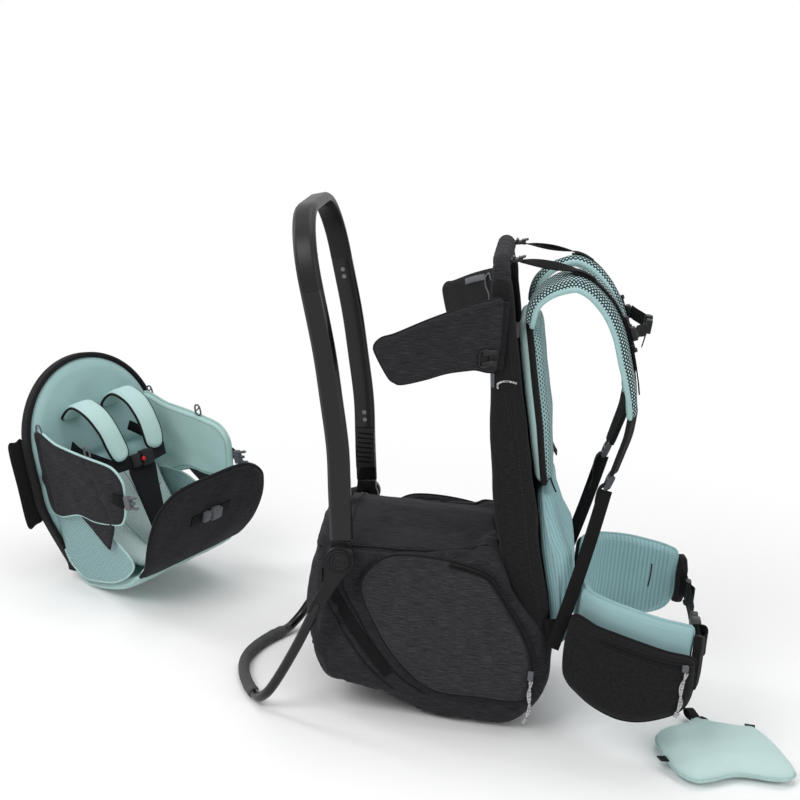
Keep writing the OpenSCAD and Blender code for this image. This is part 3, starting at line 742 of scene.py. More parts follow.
# ---------- camera, floor and light ----------
CAMERA_AT = (0.018, -2.228, 1.051)
CAMERA_YAW, CAMERA_PITCH, CAMERA_ROLL = (math.radians(a) for a in (4.65, 14.75, 5.13))
CAMERA_LENS, SENSOR = 68.5, 36
FLOOR_Z, FLOOR_END, FLOOR_BEND = -0.3, 3000, 1500
FLOOR_CLEAR = (0.55, 1.5)  # the floor fades to white between these distances, in metres
WORLD_LIGHT = 0.45
AIM = (0, 0, 0.35)
LAMPS = (
    ("key", (-1.6, -2.2, 2.6), (1.6, 1.6), 50),
    ("fill", (2.4, -1.8, 1.6), (1.2, 2.2), 24),
    ("strip", (-2.2, 0.6, 1.5), (0.5, 2.4), 14),
    ("top", (0.2, 0.4, 3.0), (2.4, 2.4), 32),
)


def set_camera():
    cam = bpy.data.objects.new("camera", bpy.data.cameras.new("camera"))
    scene.collection.objects.link(cam)
    scene.camera = cam
    cam.data.lens, cam.data.sensor_width = CAMERA_LENS, SENSOR
    yaw, pitch, roll = CAMERA_YAW, CAMERA_PITCH, CAMERA_ROLL
    ahead = Vector((-math.sin(yaw) * math.cos(pitch), math.cos(yaw) * math.cos(pitch), -math.sin(pitch)))
    level = Vector((math.cos(yaw), math.sin(yaw), 0))
    over = level.cross(ahead)
    right = level * math.cos(roll) + over * math.sin(roll)
    up = over * math.cos(roll) - level * math.sin(roll)
    cam.matrix_world = Matrix.Translation(CAMERA_AT) @ Matrix((right, up, -ahead)).transposed().to_4x4()


set_camera()


def seen_ray(nodes, links):
    """1 for a ray from the camera, or one that a mirror or glass sends on."""
    path = nodes.new("ShaderNodeLightPath")
    total = path.outputs["Is Camera Ray"]
    for name in ("Is Glossy Ray", "Is Transmission Ray"):
        add = nodes.new("ShaderNodeMath")
        add.operation, add.use_clamp = "ADD", True
        links.new(total, add.inputs[0])
        links.new(path.outputs[name], add.inputs[1])
        total = add.outputs[0]
    return total


def floor_material():
    """A plain pale floor that takes the shadows, and turns to plain white away from them."""
    mat = bpy.data.materials.new("studio_floor")
    mat.use_nodes = True
    nodes, links = mat.node_tree.nodes, mat.node_tree.links
    bsdf = nodes["Principled BSDF"]
    bsdf.inputs["Base Color"].default_value = (0.93, 0.93, 0.93, 1)
    bsdf.inputs["Roughness"].default_value = 0.9
    bsdf.inputs["Specular IOR Level"].default_value = 0.1
    place = nodes.new("ShaderNodeNewGeometry")
    away = nodes.new("ShaderNodeVectorMath")
    away.operation = "LENGTH"
    links.new(place.outputs["Position"], away.inputs[0])
    far = nodes.new("ShaderNodeMapRange")
    far.interpolation_type = "SMOOTHSTEP"
    far.inputs["From Min"].default_value, far.inputs["From Max"].default_value = FLOOR_CLEAR
    links.new(away.outputs["Value"], far.inputs["Value"])
    share = nodes.new("ShaderNodeMath")
    share.operation = "MULTIPLY"
    links.new(far.outputs[0], share.inputs[0])
    links.new(seen_ray(nodes, links), share.inputs[1])
    white = nodes.new("ShaderNodeEmission")
    mix = nodes.new("ShaderNodeMixShader")
    links.new(share.outputs[0], mix.inputs[0])
    links.new(bsdf.outputs[0], mix.inputs[1])
    links.new(white.outputs[0], mix.inputs[2])
    links.new(mix.outputs[0], nodes["Material Output"].inputs["Surface"])
    return mat


def set_stage():
    scene.view_settings.view_transform = "Standard"
    world = bpy.data.worlds.new("studio")
    scene.world = world
    world.use_nodes = True
    nodes, links = world.node_tree.nodes, world.node_tree.links
    sky = nodes["Background"]
    strength = nodes.new("ShaderNodeMapRange")
    links.new(seen_ray(nodes, links), strength.inputs["Value"])
    strength.inputs["To Min"].default_value = WORLD_LIGHT
    strength.inputs["To Max"].default_value = 1.0
    links.new(strength.outputs[0], sky.inputs["Strength"])
    sky.inputs["Color"].default_value = (1, 1, 1, 1)
    mat = floor_material()
    arc = np.linspace(0.1, 1.57, 10)
    bend = [(FLOOR_END + FLOOR_BEND * math.sin(a), FLOOR_BEND * (1 - math.cos(a))) for a in arc]
    rise = [(-4000, 0), (FLOOR_END, 0), *bend, (FLOOR_END + FLOOR_BEND, 5000)]
    rows = [[(x, y, z + FLOOR_Z) for x in (-6000, 6000)] for y, z in rise]
    verts, faces, _ = grid(rows, closed_v=False)
    mesh = bpy.data.meshes.new("studio_floor")
    mesh.from_pydata((verts * MM).tolist(), [], faces)
    mesh.shade_smooth()
    floor = bpy.data.objects.new("studio_floor", mesh)
    scene.collection.objects.link(floor)
    mesh.materials.append(mat)
    for name, at, size, power in LAMPS:
        light = bpy.data.lights.new(name, "AREA")
        light.shape, light.size, light.size_y = "RECTANGLE", *size
        light.energy = power
        lamp = bpy.data.objects.new(name, light)
        scene.collection.objects.link(lamp)
        lamp.location = at
        lamp.rotation_euler = (Vector(AIM) - Vector(at)).to_track_quat("-Z", "Y").to_euler()


set_stage()


# ---------- cords first: the zip pulls ----------
POCKET_PULL_Y = 154.3
POCKET_CORD = [(77, 100.7), (78, 90), (80, 75), (80, 60), (78, 45), (76, 32)]
HIP_CORD = [(-1, 166.3), (-1, 155), (-2, 140), (-3, 125), (-4, 110), (-5, 97)]
HIP_PULL_OUT = 41.1
CORD_D = 3.2


def hip_zip_place(p):
    """Along the hip zip, outwards and up."""
    a = math.radians(13)
    p = arr(p)
    x, y = p[:, 0], p[:, 1]
    return np.stack(
        [283 + x * math.cos(a) - y * math.sin(a), -166.6 + x * math.sin(a) + y * math.cos(a), p[:, 2]], 1
    )


def zip_pull(name, path, body):
    """A looped pull cord with a knot at its end."""
    path = curve(path, 1.5)
    run = lengths(path)
    knot_at = path[-4]
    turns = [(-2.6, 0, 1.5), (0, -1.6, 3.0), (2.6, 0.2, 0.8), (0, 1.5, -2.2)]
    ends = [(-1.5, 0.8, -1), (1.8, -0.8, 2.6)]
    turn = run / run[-1] * 9
    twin = path[1:] + np.stack([3.3 * np.cos(turn), 0.5 * np.sin(turn), 0.9 * np.sin(turn)], 1)[1:]
    knot = piece(
        f"{name}_knot",
        together(
            tube(curve([knot_at + k for k in turns], 0.8, True), 1.5, 8, True),
            tube(curve([knot_at + k for k in ends], 0.8), 1.9, 8),
            tube(twin, CORD_D / 2, 10),
        ),
        "cord",
        body,
    )
    made = tube(path, CORD_D / 2, 10)
    pull = piece(name, made, "cord", body, (name,))


for side, s in SIDES.items():
    zip_pull(
        f"pocket_pull_{side}", [(x, s * POCKET_PULL_Y, z) for x, z in POCKET_CORD], f"pocket_pull_{side}"
    )
zip_pull("hip_pull", hip_zip_place([(x, -HIP_PULL_OUT, z) for x, z in HIP_CORD]), "hip_pull")


# ---------- frame and kickstand ----------
def cad_look(look, *nodes, round_by=0.0):
    """A CAD node keeps its shape and gets a material, with its edges eased."""
    for n in nodes:
        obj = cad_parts[n]
        obj.data.materials.clear()
        obj.data.materials.append(LOOKS[look][0])
        if round_by:
            weld = obj.modifiers.new("weld", "WELD")
            weld.merge_threshold = 1e-5
            ease = obj.modifiers.new("ease", "BEVEL")
            ease.width, ease.segments, ease.angle_limit = round_by * MM, 3, math.radians(30)
            ease.harden_normals = True


def lathe(profile, at, axis, sides=40):
    """Profile points (radius, height) turned round an axis."""
    n = unit(axis)
    a = unit(np.cross(n, (0.3, 1, 0.2)))
    b = np.cross(n, a)
    out = [a * math.cos(t) + b * math.sin(t) for t in np.linspace(0, 2 * math.pi, sides, endpoint=False)]
    return grid([[arr(at) + n * h + k * r for k in out] for r, h in profile])


BAR_Y = 150
SEAM = (-288, 645)
BAR_LINE = [SEAM, (-265, 563), (-249, 492), (-234, 419), (-226, 350), (-218, 284)]
LEAN = math.atan((BAR_LINE[1][0] - SEAM[0]) / (SEAM[1] - BAR_LINE[1][1]))
BAND = [
    (-16.5, -4.5), (-16.5, 2.5), (-12.2, 6.2), (-10.5, 7), (9.5, 7), (12.2, 5.8), (16.5, 1.5),
    (16.5, -4.5), (14.5, -7), (-14.5, -7)
]
HUB = (-216, 258)
HOOP_TOP = 760


def eased(profile, r=1.1):
    """A profile with its corners rounded."""
    p = arr(profile)
    out = []
    for i in range(len(p)):
        a, b, c = p[i - 1], p[i], p[(i + 1) % len(p)]
        k = min(r, 0.4 * np.linalg.norm(a - b), 0.4 * np.linalg.norm(c - b))
        d, e = b + unit(a - b) * k, b + unit(c - b) * k
        out += [d, 0.25 * d + 0.5 * b + 0.25 * e, e]
    return out


def make_hoop():
    outer = eased(BAND)
    for side, s in SIDES.items():
        line = curve([(x, -BAR_Y, z) for x, z in BAR_LINE], 8)
        bars = sweep(line, (1, 0, 0), outer)
        piece(f"bar_{side}", side_of(bars, s), "gloss", "frame", (f"hoop_bar_{side}",), 25)
    up = arr((-math.sin(LEAN), 0, math.cos(LEAN)))
    wide = arr((math.cos(LEAN), 0, math.sin(LEAN)))
    high = (HOOP_TOP - SEAM[1] - 16.5 * math.sin(LEAN)) / math.cos(LEAN) - 7
    r, inner = 97, 53
    flat = [(-BAR_Y, 0.5), (-BAR_Y, (high - r) * 0.5)]
    flat += [(-inner - r * math.cos(a), high - r + r * math.sin(a)) for a in np.linspace(0, math.pi / 2, 15)]
    flat += [(-20, high)]
    flat += [(-y, h) for y, h in flat[::-1]]
    path = arr([arr((SEAM[0], y, SEAM[1])) + up * h for y, h in flat])
    piece(
        "arch", sweep(path, wide, eased([(a, -b) for a, b in BAND][::-1])), "satin", "frame",
        ("hoop_arch",), 25
    )


make_hoop()
cad_look("steel", "hoop_screws")
cad_look("black_plastic", "bar_ribs", "back_web", "yoke_plate")
cad_look("alloy", "side_rail_right", "side_rail_left", "cross_bar")
cad_look("black_plastic", "back_frame")
cad_look("satin", "hub_right", "hub_left", round_by=1.6)
cad_look("hub_plastic", "kick_arm_right", "kick_arm_left", round_by=1.8)
cad_look("grey_plastic", "pocket_slider_right", "pocket_slider_left", "hip_slider", round_by=0.8)

ARM_Y = 164.25
CAP_Y = 171.3
LEG = [
    (-243.2, -ARM_Y, 187.5), (-266, -ARM_Y, 125), (-289, -162.2, 71), (-306, -157.2, 37), (-318, -147.2, 20),
    (-329, -132.2, 10.82), (-351, -92, 9.22), (-367, -46, 9.22), (-373, 0, 9.22),
]
LEG_R = 7.5
CAP = [
    (0.1, 3.1), (8.5, 3.1), (9.3, 2.5), (10, 3.3), (13.8, 3.4), (14.6, 2.4), (15.4, 3.4), (16.4, 3.0),
    (17, 1.9), (17, -0.3), (0.1, -0.3),
]


def make_kickstand():
    route = arr(LEG + [(x, -y, z) for x, y, z in LEG[-2::-1]])
    line = curve(route, 5)
    piece("kick_legs", tube(line, LEG_R, 20), "gloss", "kickstand", ("kick_tube",))
    low = line[np.abs(line[:, 1]) < 125]
    taper = np.ones(len(low))
    taper[[0, -1]] = 0.93
    made = [tube(low, LEG_R + 1.45, 20, taper=taper)]
    for part in (low[:8], low[-8:]):
        made.append(tube(part, LEG_R + 1.85, 20, taper=[0.86, 1, 1, 0.96, 0.96, 1, 1, 0.86]))
    piece("foot_sleeve", together(*made), "rubber", "kickstand", ("kick_foot",))
    for side, s in SIDES.items():
        cap = lathe(CAP, (HUB[0], -CAP_Y, HUB[1]), (0, -1, 0))
        a, b = ((HUB[0] + k, -CAP_Y - 3.2, HUB[1]) for k in (-5, 5))
        slot = bar(a, b, (0, 0, 1), 2, 0.8, 0.2)
        piece(
            f"hub_cap_{side}", side_of(together(cap, slot), s), "hub_plastic", "frame",
            (f"pivot_pin_{side}",)
        )


make_kickstand()


# ---------- soft pieces: tools ----------
def settle(obj, pressure, cap, pinned, slack=0.0, frames=16, gravity=0.0, stiff=12.0, bend=0.6):
    """Cloth simulation on a piece's mesh, kept within cap millimetres of where it started.
    pinned marks points that stay."""
    mesh = obj.data
    start = arr([v.co[:] for v in mesh.vertices])
    group = obj.vertex_groups.new(name="pin")
    group.add([int(i) for i in np.flatnonzero(pinned)], 1.0, "REPLACE")
    mod = obj.modifiers.new("cloth", "CLOTH")
    s = mod.settings
    s.quality, s.mass = 4, 0.25
    s.tension_stiffness = s.compression_stiffness = s.shear_stiffness = stiff
    s.bending_stiffness = bend
    s.use_pressure, s.uniform_pressure_force = pressure != 0, pressure
    s.shrink_min = -slack
    s.effector_weights.gravity = gravity
    s.vertex_group_mass = "pin"
    mod.collision_settings.use_collision = False
    mod.point_cache.frame_start, mod.point_cache.frame_end = 1, frames
    for f in range(1, frames + 1):
        scene.frame_set(f)
    made = obj.evaluated_get(bpy.context.evaluated_depsgraph_get()).to_mesh()
    end = arr([v.co[:] for v in made.vertices])
    move = end - start
    far = np.linalg.norm(move, axis=1, keepdims=True)
    move = move * np.minimum(1, cap * MM / np.maximum(far, 1e-9))
    obj.modifiers.remove(mod)
    obj.vertex_groups.clear()
    mesh.vertices.foreach_set("co", (start + move).astype(np.float32).ravel())
    mesh.update()
    scene.frame_set(1)


class Skin:
    """A made piece's surface, to lay seams and stitches on."""

    def __init__(self, *objs):
        verts, faces = [], []
        for obj in objs:
            n = len(verts)
            verts += [v.co / MM for v in obj.data.vertices]
            faces += [[i + n for i in p.vertices] for p in obj.data.polygons]
        self.tree = BVHTree.FromPolygons(verts, faces)

    def lay(self, points, towards, lift=0.0):
        """Points moved along a direction onto the surface, and the surface's normals there."""
        d = Vector(unit(towards))
        out, normals = [], []
        for p in arr(points):
            hit = self.tree.ray_cast(Vector(p) - d * 200, d, 400)
            if hit[0] is None:
                hit = self.tree.find_nearest(Vector(p))
            n = hit[1] if hit[1].dot(d) < 0 else -hit[1]
            out.append(arr(hit[0]) + arr(n) * lift)
            normals.append(arr(n))
        return arr(out), arr(normals)

    def piping(self, line, towards, r, step=4.0):
        p, _ = self.lay(curve(line, step), towards, r * 0.2)
        return tube(softened(p), r, 8)

    def stitches(self, line, towards, pitch=SEAM_PITCH):
        p, n = self.lay(even(curve(line, 2.0), pitch), towards, 0.25)
        return stitch_row(p, n)

    def band(self, line, towards, width, thick, lift=0.0):
        p, n = self.lay(curve(line, 5.0), towards, thick / 2 + lift)
        p = softened(p)
        return sweep(p, np.cross(n, tangents(p)), rounded(width, thick, thick * 0.45, 2))


def softened(p, times=2):
    """A polyline with its kinks eased."""
    p = p.copy()
    for _ in range(times):
        p[1:-1] = (p[:-2] + 2 * p[1:-1] + p[2:]) / 4
    return p


def lying(path, across):
    """A place for a flat pattern along a path: u across it, v along it, h off it."""
    p = even(path, 2.0)
    s = lengths(p)
    t = tangents(p)
    w = np.broadcast_to(arr(across), p.shape)
    w = unit(w - t * (w * t).sum(1, keepdims=True))
    n = np.cross(t, w)

    def place(uv, h):
        uv = arr(uv)
        v = np.clip(uv[:, 1], 0, s[-1])
        pick = lambda q: np.stack([np.interp(v, s, q[:, k]) for k in range(3)], 1)
        return pick(p) + pick(w) * uv[:, :1] + pick(n) * arr(h)[:, None] + pick(t) * (uv[:, 1:2] - v[:, None])

    return place, s[-1]


def box_uv(obj):
    """Flat coordinates from the side each face looks to, so that weave lines run level."""
    mesh = obj.data
    layer = mesh.uv_layers["flat"].data
    for f in mesh.polygons:
        n = [abs(k) for k in f.normal]
        a, b = (0, 2) if n[1] >= max(n[0], n[2]) else (1, 2) if n[0] > n[2] else (0, 1)
        for i in f.loop_indices:
            co = mesh.vertices[mesh.loops[i].vertex_index].co
            layer[i].uv = (co[a], co[b])


# ---------- the storage bag ----------
BAG_Y = 138
BAG_VOXEL, BAG_SMOOTHING = 0.0062, 9  # metres, passes
BAG_SIDE = [
    (-246, 310), (-262, 270), (-276, 225), (-281, 185), (-281, 150), (-266, 105), (-232, 62), (-196, 48),
    (-151, 38), (-100, 24), (-40, 0), (36, 0), (64, 20), (94, 54), (106, 92), (106, 122), (99, 156),
    (50, 207), (30, 240), (8, 290), (-8, 310), (-120, 310),
]
BAG_TOP = [(0, 303), (26, 303), (72, 294), (118, 280), (132, 268), (138, 250)]
BAG_FLOOR = [(0, 0), (106, 0), (128, 28), (138, 62)]
BAG_REAR = [(0, -300), (72, -300), (126, -262), (138, -226)]
BAG_FRONT = [(0, 112), (118, 112), (138, 80)]


def make_bag():
    side = curve(BAG_SIDE, 7, True)
    limit = lambda table, y: float(np.interp(abs(y), *zip(*table)))
    rows = []
    crowded = [0.5 * k * k for k in np.linspace(0, 1, 9)[:-1]]
    for t in [*[k - 1 for k in crowded], *np.linspace(-0.5, 0.5, 15), *[1 - k for k in crowded[::-1]]]:
        y = t * BAG_Y
        x = np.clip(side[:, 0], limit(BAG_REAR, y), limit(BAG_FRONT, y))
        z = np.clip(side[:, 1], limit(BAG_FLOOR, y), limit(BAG_TOP, y))
        rows.append(np.stack([x, np.full(len(x), y), z], 1))
    middle = arr((-80, 0, 150))
    ends = (0.03, 0.25, 0.5, 0.75, 0.92)
    first = [middle * (1 - k) + rows[0] * k * (1, 0, 1) + (0, -BAG_Y, 0) for k in ends]
    last = [middle * (1 - k) + rows[-1] * k * (1, 0, 1) + (0, BAG_Y, 0) for k in ends[::-1]]
    bag = piece("bag", grid([*first, *rows, *last]), "heather", "frame", ("storage_bag",), 180)
    mod = bag.modifiers.new("even", "REMESH")
    mod.mode, mod.voxel_size = "VOXEL", BAG_VOXEL
    made = bpy.data.meshes.new_from_object(bag.evaluated_get(bpy.context.evaluated_depsgraph_get()))
    bag.modifiers.clear()
    bag.data = made
    bm = bmesh.new()
    bm.from_mesh(made)
    for _ in range(BAG_SMOOTHING):
        bmesh.ops.smooth_vert(
            bm, verts=bm.verts, factor=0.5, use_axis_x=True, use_axis_y=True, use_axis_z=True
        )
    bm.to_mesh(made)
    bm.free()
    co = arr([v.co[:] for v in made.vertices]) / MM
    x, y, z = co.T
    near_side = np.abs(y) > BAG_Y - 6
    fixed = (z < 5) | (near_side & (z < 258) & (x > -205) & (x < 72))
    fixed |= (x > -10) & (np.abs(y) > 84) & (z > 140)
    fixed |= (np.hypot(x - HUB[0], z - HUB[1]) < 30) & near_side
    fixed |= x > 88
    settle(bag, 1.4, 11, fixed, slack=0.035, frames=18, gravity=0.35)
    fold_bag(bag)
    made.uv_layers.new(name="flat")
    box_uv(bag)
    made.shade_smooth()
    made.materials.clear()
    made.materials.append(LOOKS["heather_up"][0])
    bag.modifiers.new("smooth", "SUBSURF").render_levels = 1
    return bag


CREASES = [  # on the bag: from, to, depth, width
    ((-170, -139, 252), (-20, -137, 262), 2.6, 8),
    ((-190, -128, 276), (-60, -120, 281), 3.2, 9),
    ((-150, -118, 284), (10, -112, 278), -2.4, 9),
    ((-205, -60, 302), (-20, -84, 292), 3.4, 12),
    ((-180, 10, 304), (-40, -20, 303), -2.6, 13),
    ((-200, 70, 296), (-30, 60, 296), 3.0, 12),
    ((-262, -128, 250), (-268, -104, 150), 3.0, 9),
    ((-279, -60, 230), (-272, -70, 110), 2.6, 14),
    ((-279, 40, 240), (-272, 60, 120), 2.6, 14),
    ((-214, -139, 200), (-120, -139, 74), 2.8, 8),
    ((60, -139, 216), (96, -134, 150), 3.0, 8),
    ((20, -139, 236), (88, -137, 170), 2.4, 7),
]


def fold_bag(bag):
    """Presses creases into the cloth, mirrored on the other side, with small dents between."""
    mesh = bag.data
    co = arr([v.co[:] for v in mesh.vertices]) / MM
    normals = arr([v.normal[:] for v in mesh.vertices])
    depth = np.zeros(len(co))
    for a, b, deep, wide in CREASES:
        for s in (1, -1):
            p, q = arr(a) * (1, s, 1), arr(b) * (1, s, 1)
            t = np.clip(((co - p) @ (q - p)) / ((q - p) @ (q - p)), 0, 1)
            off = np.linalg.norm(co - p - t[:, None] * (q - p), axis=1)
            depth -= deep * np.exp(-((off / wide) ** 2)) * np.sin(np.clip(t, 0.02, 0.98) * math.pi) ** 0.5
    coarse = [noise.noise(Vector(p / (46, 40, 24))) for p in co]
    fine = [noise.noise(Vector(p / (20, 18, 13) + (7, 3, 1))) for p in co]
    small = arr(coarse) + 0.5 * arr(fine)
    depth += 1.5 * small * np.clip((co[:, 2] - 4) / 30, 0, 1)
    co = co + normals * depth[:, None]
    co[:, 2] = np.maximum(co[:, 2], 0.4)
    mesh.vertices.foreach_set("co", (co * MM).astype(np.float32).ravel())
    mesh.update()


bag = make_bag()
bag_skin = Skin(bag)

POCKET_SIDE = [
    (-152, 262), (-117, 270), (-58, 268), (-4, 256), (16, 236), (42, 199), (66, 162), (79, 124), (79, 88),
    (67, 62), (7, 60), (-68, 64), (-124, 106), (-164, 164), (-184, 208), (-178, 236),
]
ZIP_LINE = [(77, 88), (78, 124), (64, 162), (40, 199), (15, 234), (-6, 253), (-58, 264)]
POCKET_FACE = 150.3


def both(half, *middle):
    """A flat outline: its left half, the points between, and the half again on the right."""
    return [*half, *middle, *[(-u, v) for u, v in half[::-1]]]


def side_points(line, y):
    """Points (x, z) at a distance from the middle."""
    return arr([(x, y, z) for x, z in line])


def make_pocket(side, s):
    def place(p, h):
        return np.stack([p[:, 0], s * (BAG_Y + 5 + arr(h)), p[:, 1]], 1)

    crown = lambda p: 6.6 + 0.9 * np.sin(p[:, 0] / 31.0) * np.cos(p[:, 1] / 24.0)
    seams = [
        [(-178, 190), (-150, 236), (-118, 258), (-58, 258), (-14, 246)],
        [(-14, 246), (30, 198), (55, 158), (64, 122), (64, 84)]
    ]
    q = Quilt(
        POCKET_SIDE, place, crown, 5.0, step=5, edge=9, seams=seams[:1], dent=1.2, dent_w=3, wobble=1.3,
        seed=3 + s
    )
    cushion(f"pocket_{side}", q, "heather", "frame", (f"side_pocket_{side}",))
    piece(f"pocket_edge_{side}", q.piping(2.0, 1.5), "binding", "frame")
    piece(
        f"pocket_stitch_{side}",
        together(q.stitches(q.ring(7)), q.stitches([(x, z - 4) for x, z in seams[0]])), "thread", "frame"
    )
    tape = curve([(x, s * (POCKET_FACE + 0.4), z) for x, z in ZIP_LINE], 4)
    row = even(tape + (0, s * 0.9, 0), TOOTH_PITCH)
    made = sweep(tape, np.cross(tangents(tape), (0, s, 0)), rounded(7.5, 1.1, 0.5, 2))
    teeth = stitch_row(row, np.tile((0, s, 0), (len(row), 1)), 1.2, 1.1)
    piece(f"pocket_zip_tape_{side}", together(made, teeth), "zip", "frame", once("pocket_zips", s))


for side, s in SIDES.items():
    make_pocket(side, s)

SIDE_SEAMS = [
    [(-214, 232), (-212, 205), (-190, 168), (-158, 118), (-116, 74), (-76, 50)],
    [(-246, 226), (-240, 190), (-216, 150), (-182, 104), (-150, 72), (-122, 52)],
]
BESIDE, ABOVE, BEHIND = 160, 330, -320  # where the rays to the bag start


def make_bag_trim():
    pipes, threads, bands = [], [], []
    for s in (-1, 1):
        for line in SIDE_SEAMS:
            pipes.append(bag_skin.piping(side_points(line, s * BESIDE), (0, -s, 0), 1.6))
            threads.append(
                bag_skin.stitches(side_points([(x + 4, z + 2) for x, z in line], s * BESIDE), (0, -s, 0))
            )
        top = [(-232, s * 122, ABOVE), (-150, s * 118, ABOVE), (-60, s * 112, ABOVE), (-6, s * 104, ABOVE)]
        pipes.append(bag_skin.piping(top, (0, 0, -1), 1.5))
        threads.append(bag_skin.stitches(arr(top) - (0, s * 4.5, 0), (0, 0, -1)))
        patch = [(-76, 279), (-44, 277), (-44, 262), (-74, 263)]
        rim = arr([(x, s * BESIDE, z) for x, z in patch + patch[:1]])
        for a, b in zip(rim[:-1], rim[1:]):
            threads.append(bag_skin.stitches([a, (a + b) / 2, b], (0, -s, 0), 3))
    rear = [(BEHIND, y, 262 + 6 * math.cos(y / 30)) for y in range(-118, 119, 14)]
    pipes.append(bag_skin.piping(rear, (1, 0, 0), 1.6))
    threads.append(bag_skin.stitches(arr(rear) - (0, 0, 5), (1, 0, 0)))
    low = [(BEHIND, y, 96 - 4 * math.cos(y / 36)) for y in range(-112, 113, 14)]
    pipes.append(bag_skin.piping(low, (1, 0, 0), 1.6))
    lid = [(-214, y, ABOVE) for y in range(-112, 113, 14)]
    pipes.append(bag_skin.piping(lid, (0, 0, -1), 1.5))
    threads.append(bag_skin.stitches(arr(lid) + (5, 0, 0), (0, 0, -1)))
    piece("bag_seams", together(*pipes), "binding", "frame")
    piece("bag_stitches", together(*threads), "thread", "frame")
    for s in (-1, 1):
        strip = bag_skin.band(
            [
                (-232, s * BESIDE, 206), (-206, s * BESIDE, 166), (-170, s * BESIDE, 118),
                (-132, s * BESIDE, 76)
            ],
            (0, -s, 0), 17, 2.2, -0.6
        )
        bands.append(strip)
    haul = curve([(-238, -22, 297), (-228, -14, 309), (-224, 0, 313), (-228, 14, 309), (-238, 22, 297)], 3)
    bands.append(webbing(haul, (1, 0, 0.3), 16, 1.6))
    piece("bag_bands", together(*bands), "webbing", "frame")


make_bag_trim()


# ---------- back frame: sleeves, top wrap, wings ----------
POST_Y = 108
SLEEVE_FRONT = [
    (150, 99), (216, 89), (277, 73), (368, 55), (456, 35), (543, 16), (600, 4), (676, -10), (690, -13)
]
SLEEVE_REAR = [
    (150, 60), (205, 50), (226, 34), (270, 14), (360, -6), (450, -20), (600, -33), (676, -40), (690, -41)
]
TOP_Z = 704
OFF_POST = 140  # where rays start on their way to a sleeve


def by_z(table, z):
    """The x of a table of heights, at z."""
    return np.interp(z, *zip(*table))


def sleeve_x(z, share):
    """A share of the way from the sleeve's rear to its front, at a height."""
    return by_z(SLEEVE_REAR, z) * (1 - share) + by_z(SLEEVE_FRONT, z) * share


def make_sleeves():
    for side, s in SIDES.items():
        rows = []
        for z in np.linspace(150, 690, 96):
            a, b = by_z(SLEEVE_REAR, z), by_z(SLEEVE_FRONT, z)
            shut = np.clip((690 - z) / 12, 0.55, 1) ** 0.5
            ring = arr(rounded((b - a) * shut, 32 * shut, 13 * shut, 5))
            x = (a + b) / 2 + ring[:, 0]
            y = -POST_Y + ring[:, 1]
            fold = arr([noise.noise(Vector((p / 22, q / 22, z / 46 + 9 * s))) for p, q in zip(x, y)])
            crinkle = 0.7 * math.sin(z / 5.2) * math.exp(-(((z - 176) / 40) ** 2))
            crinkle += 0.5 * math.sin(z / 6.5) * math.exp(-(((z - 668) / 22) ** 2))
            grow = 1 + (fold * 1.5 + crinkle)[:, None] / 16
            mid = arr(((a + b) / 2, -POST_Y))
            xy = mid + (np.stack([x, y], 1) - mid) * grow
            rows.append(np.column_stack([xy, np.full(len(x), z)]))
        sleeve = piece(
            f"sleeve_{side}", side_of(grid(rows), s), "sleeve_cloth", "frame", (f"post_sleeve_{side}",),
            SOFT_ANGLE
        )
        skin = Skin(sleeve)
        out = (0, -s, 0)
        seam = [(sleeve_x(z, 0.72), s * OFF_POST, z) for z in range(190, 661, 30)]
        slit = [(sleeve_x(z, 0.45) + (520 - z) * 0.14, s * OFF_POST, z) for z in (524, 506, 490, 474, 462)]
        threads = [skin.stitches(seam, out), *[skin.stitches(arr(slit) + (k, 0, 0), out, 3) for k in (4, -4)]]
        piece(f"sleeve_stitch_{side}", together(*threads), "thread", "frame")
        piece(f"sleeve_slit_{side}", skin.band(slit, out, 4.5, 1.0, 0.1), "zip", "frame")
        top = arr(slit[0])
        loop = [
            top + k for k in (
                (-9, 0, 4), (-11, -s * 1, 10), (-4, -s * 2, 15), (8, -s * 2, 16), (15, -s * 1, 14)
            )
        ]
        p, _ = skin.lay(curve(loop, 2), out, 1.6)
        piece(f"sleeve_cord_{side}", tube(softened(p), 1.5, 8), "cord", "frame")
        tab = skin.band(
            [(by_z(SLEEVE_REAR, z) + 4, s * OFF_POST, z) for z in (548, 538, 528)], out, 7, 1.6, 0.2
        )
        piece(f"sleeve_tab_{side}", tab, "grey_plastic", "frame")
        anchor = webbing(
            curve([(96, -125.6, 189), (98, -127.0, 180), (103, -133.6, 163)], 4), (1, 0, 0.15), 18, 2.2
        )
        piece(f"web_tab_{side}", side_of(anchor, s), "webbing", "frame")


def make_top_wrap():
    half = [
        (-24.5, -POST_Y, 672), (-27, -POST_Y, 684), (-28.5, -POST_Y + 3, 695), (-29, -POST_Y + 10, 701.5),
        (-29, -POST_Y + 22, TOP_Z), (-29, -54, TOP_Z), (-29, 0, TOP_Z)
    ]
    route = curve(half + [(x, -y, z) for x, y, z in half[-2::-1]], 4)
    at = lengths(route)
    grow = 1.0 + 0.05 * np.sin(at / 7.0) + 0.04 * np.sin(at / 3.1 + 1)
    piece("top_wrap", tube(route, 13.0, 18, taper=grow), "heather_up", "frame", ("back_frame",), SOFT_ANGLE)
    out = unit((-0.9, 0, 0.45))
    seam = even(route[4:-4] + out * 13.2, SEAM_PITCH)
    piece("top_wrap_stitch", stitch_row(seam, np.tile(out, (len(seam), 1))), "thread", "frame")


make_sleeves()
make_top_wrap()

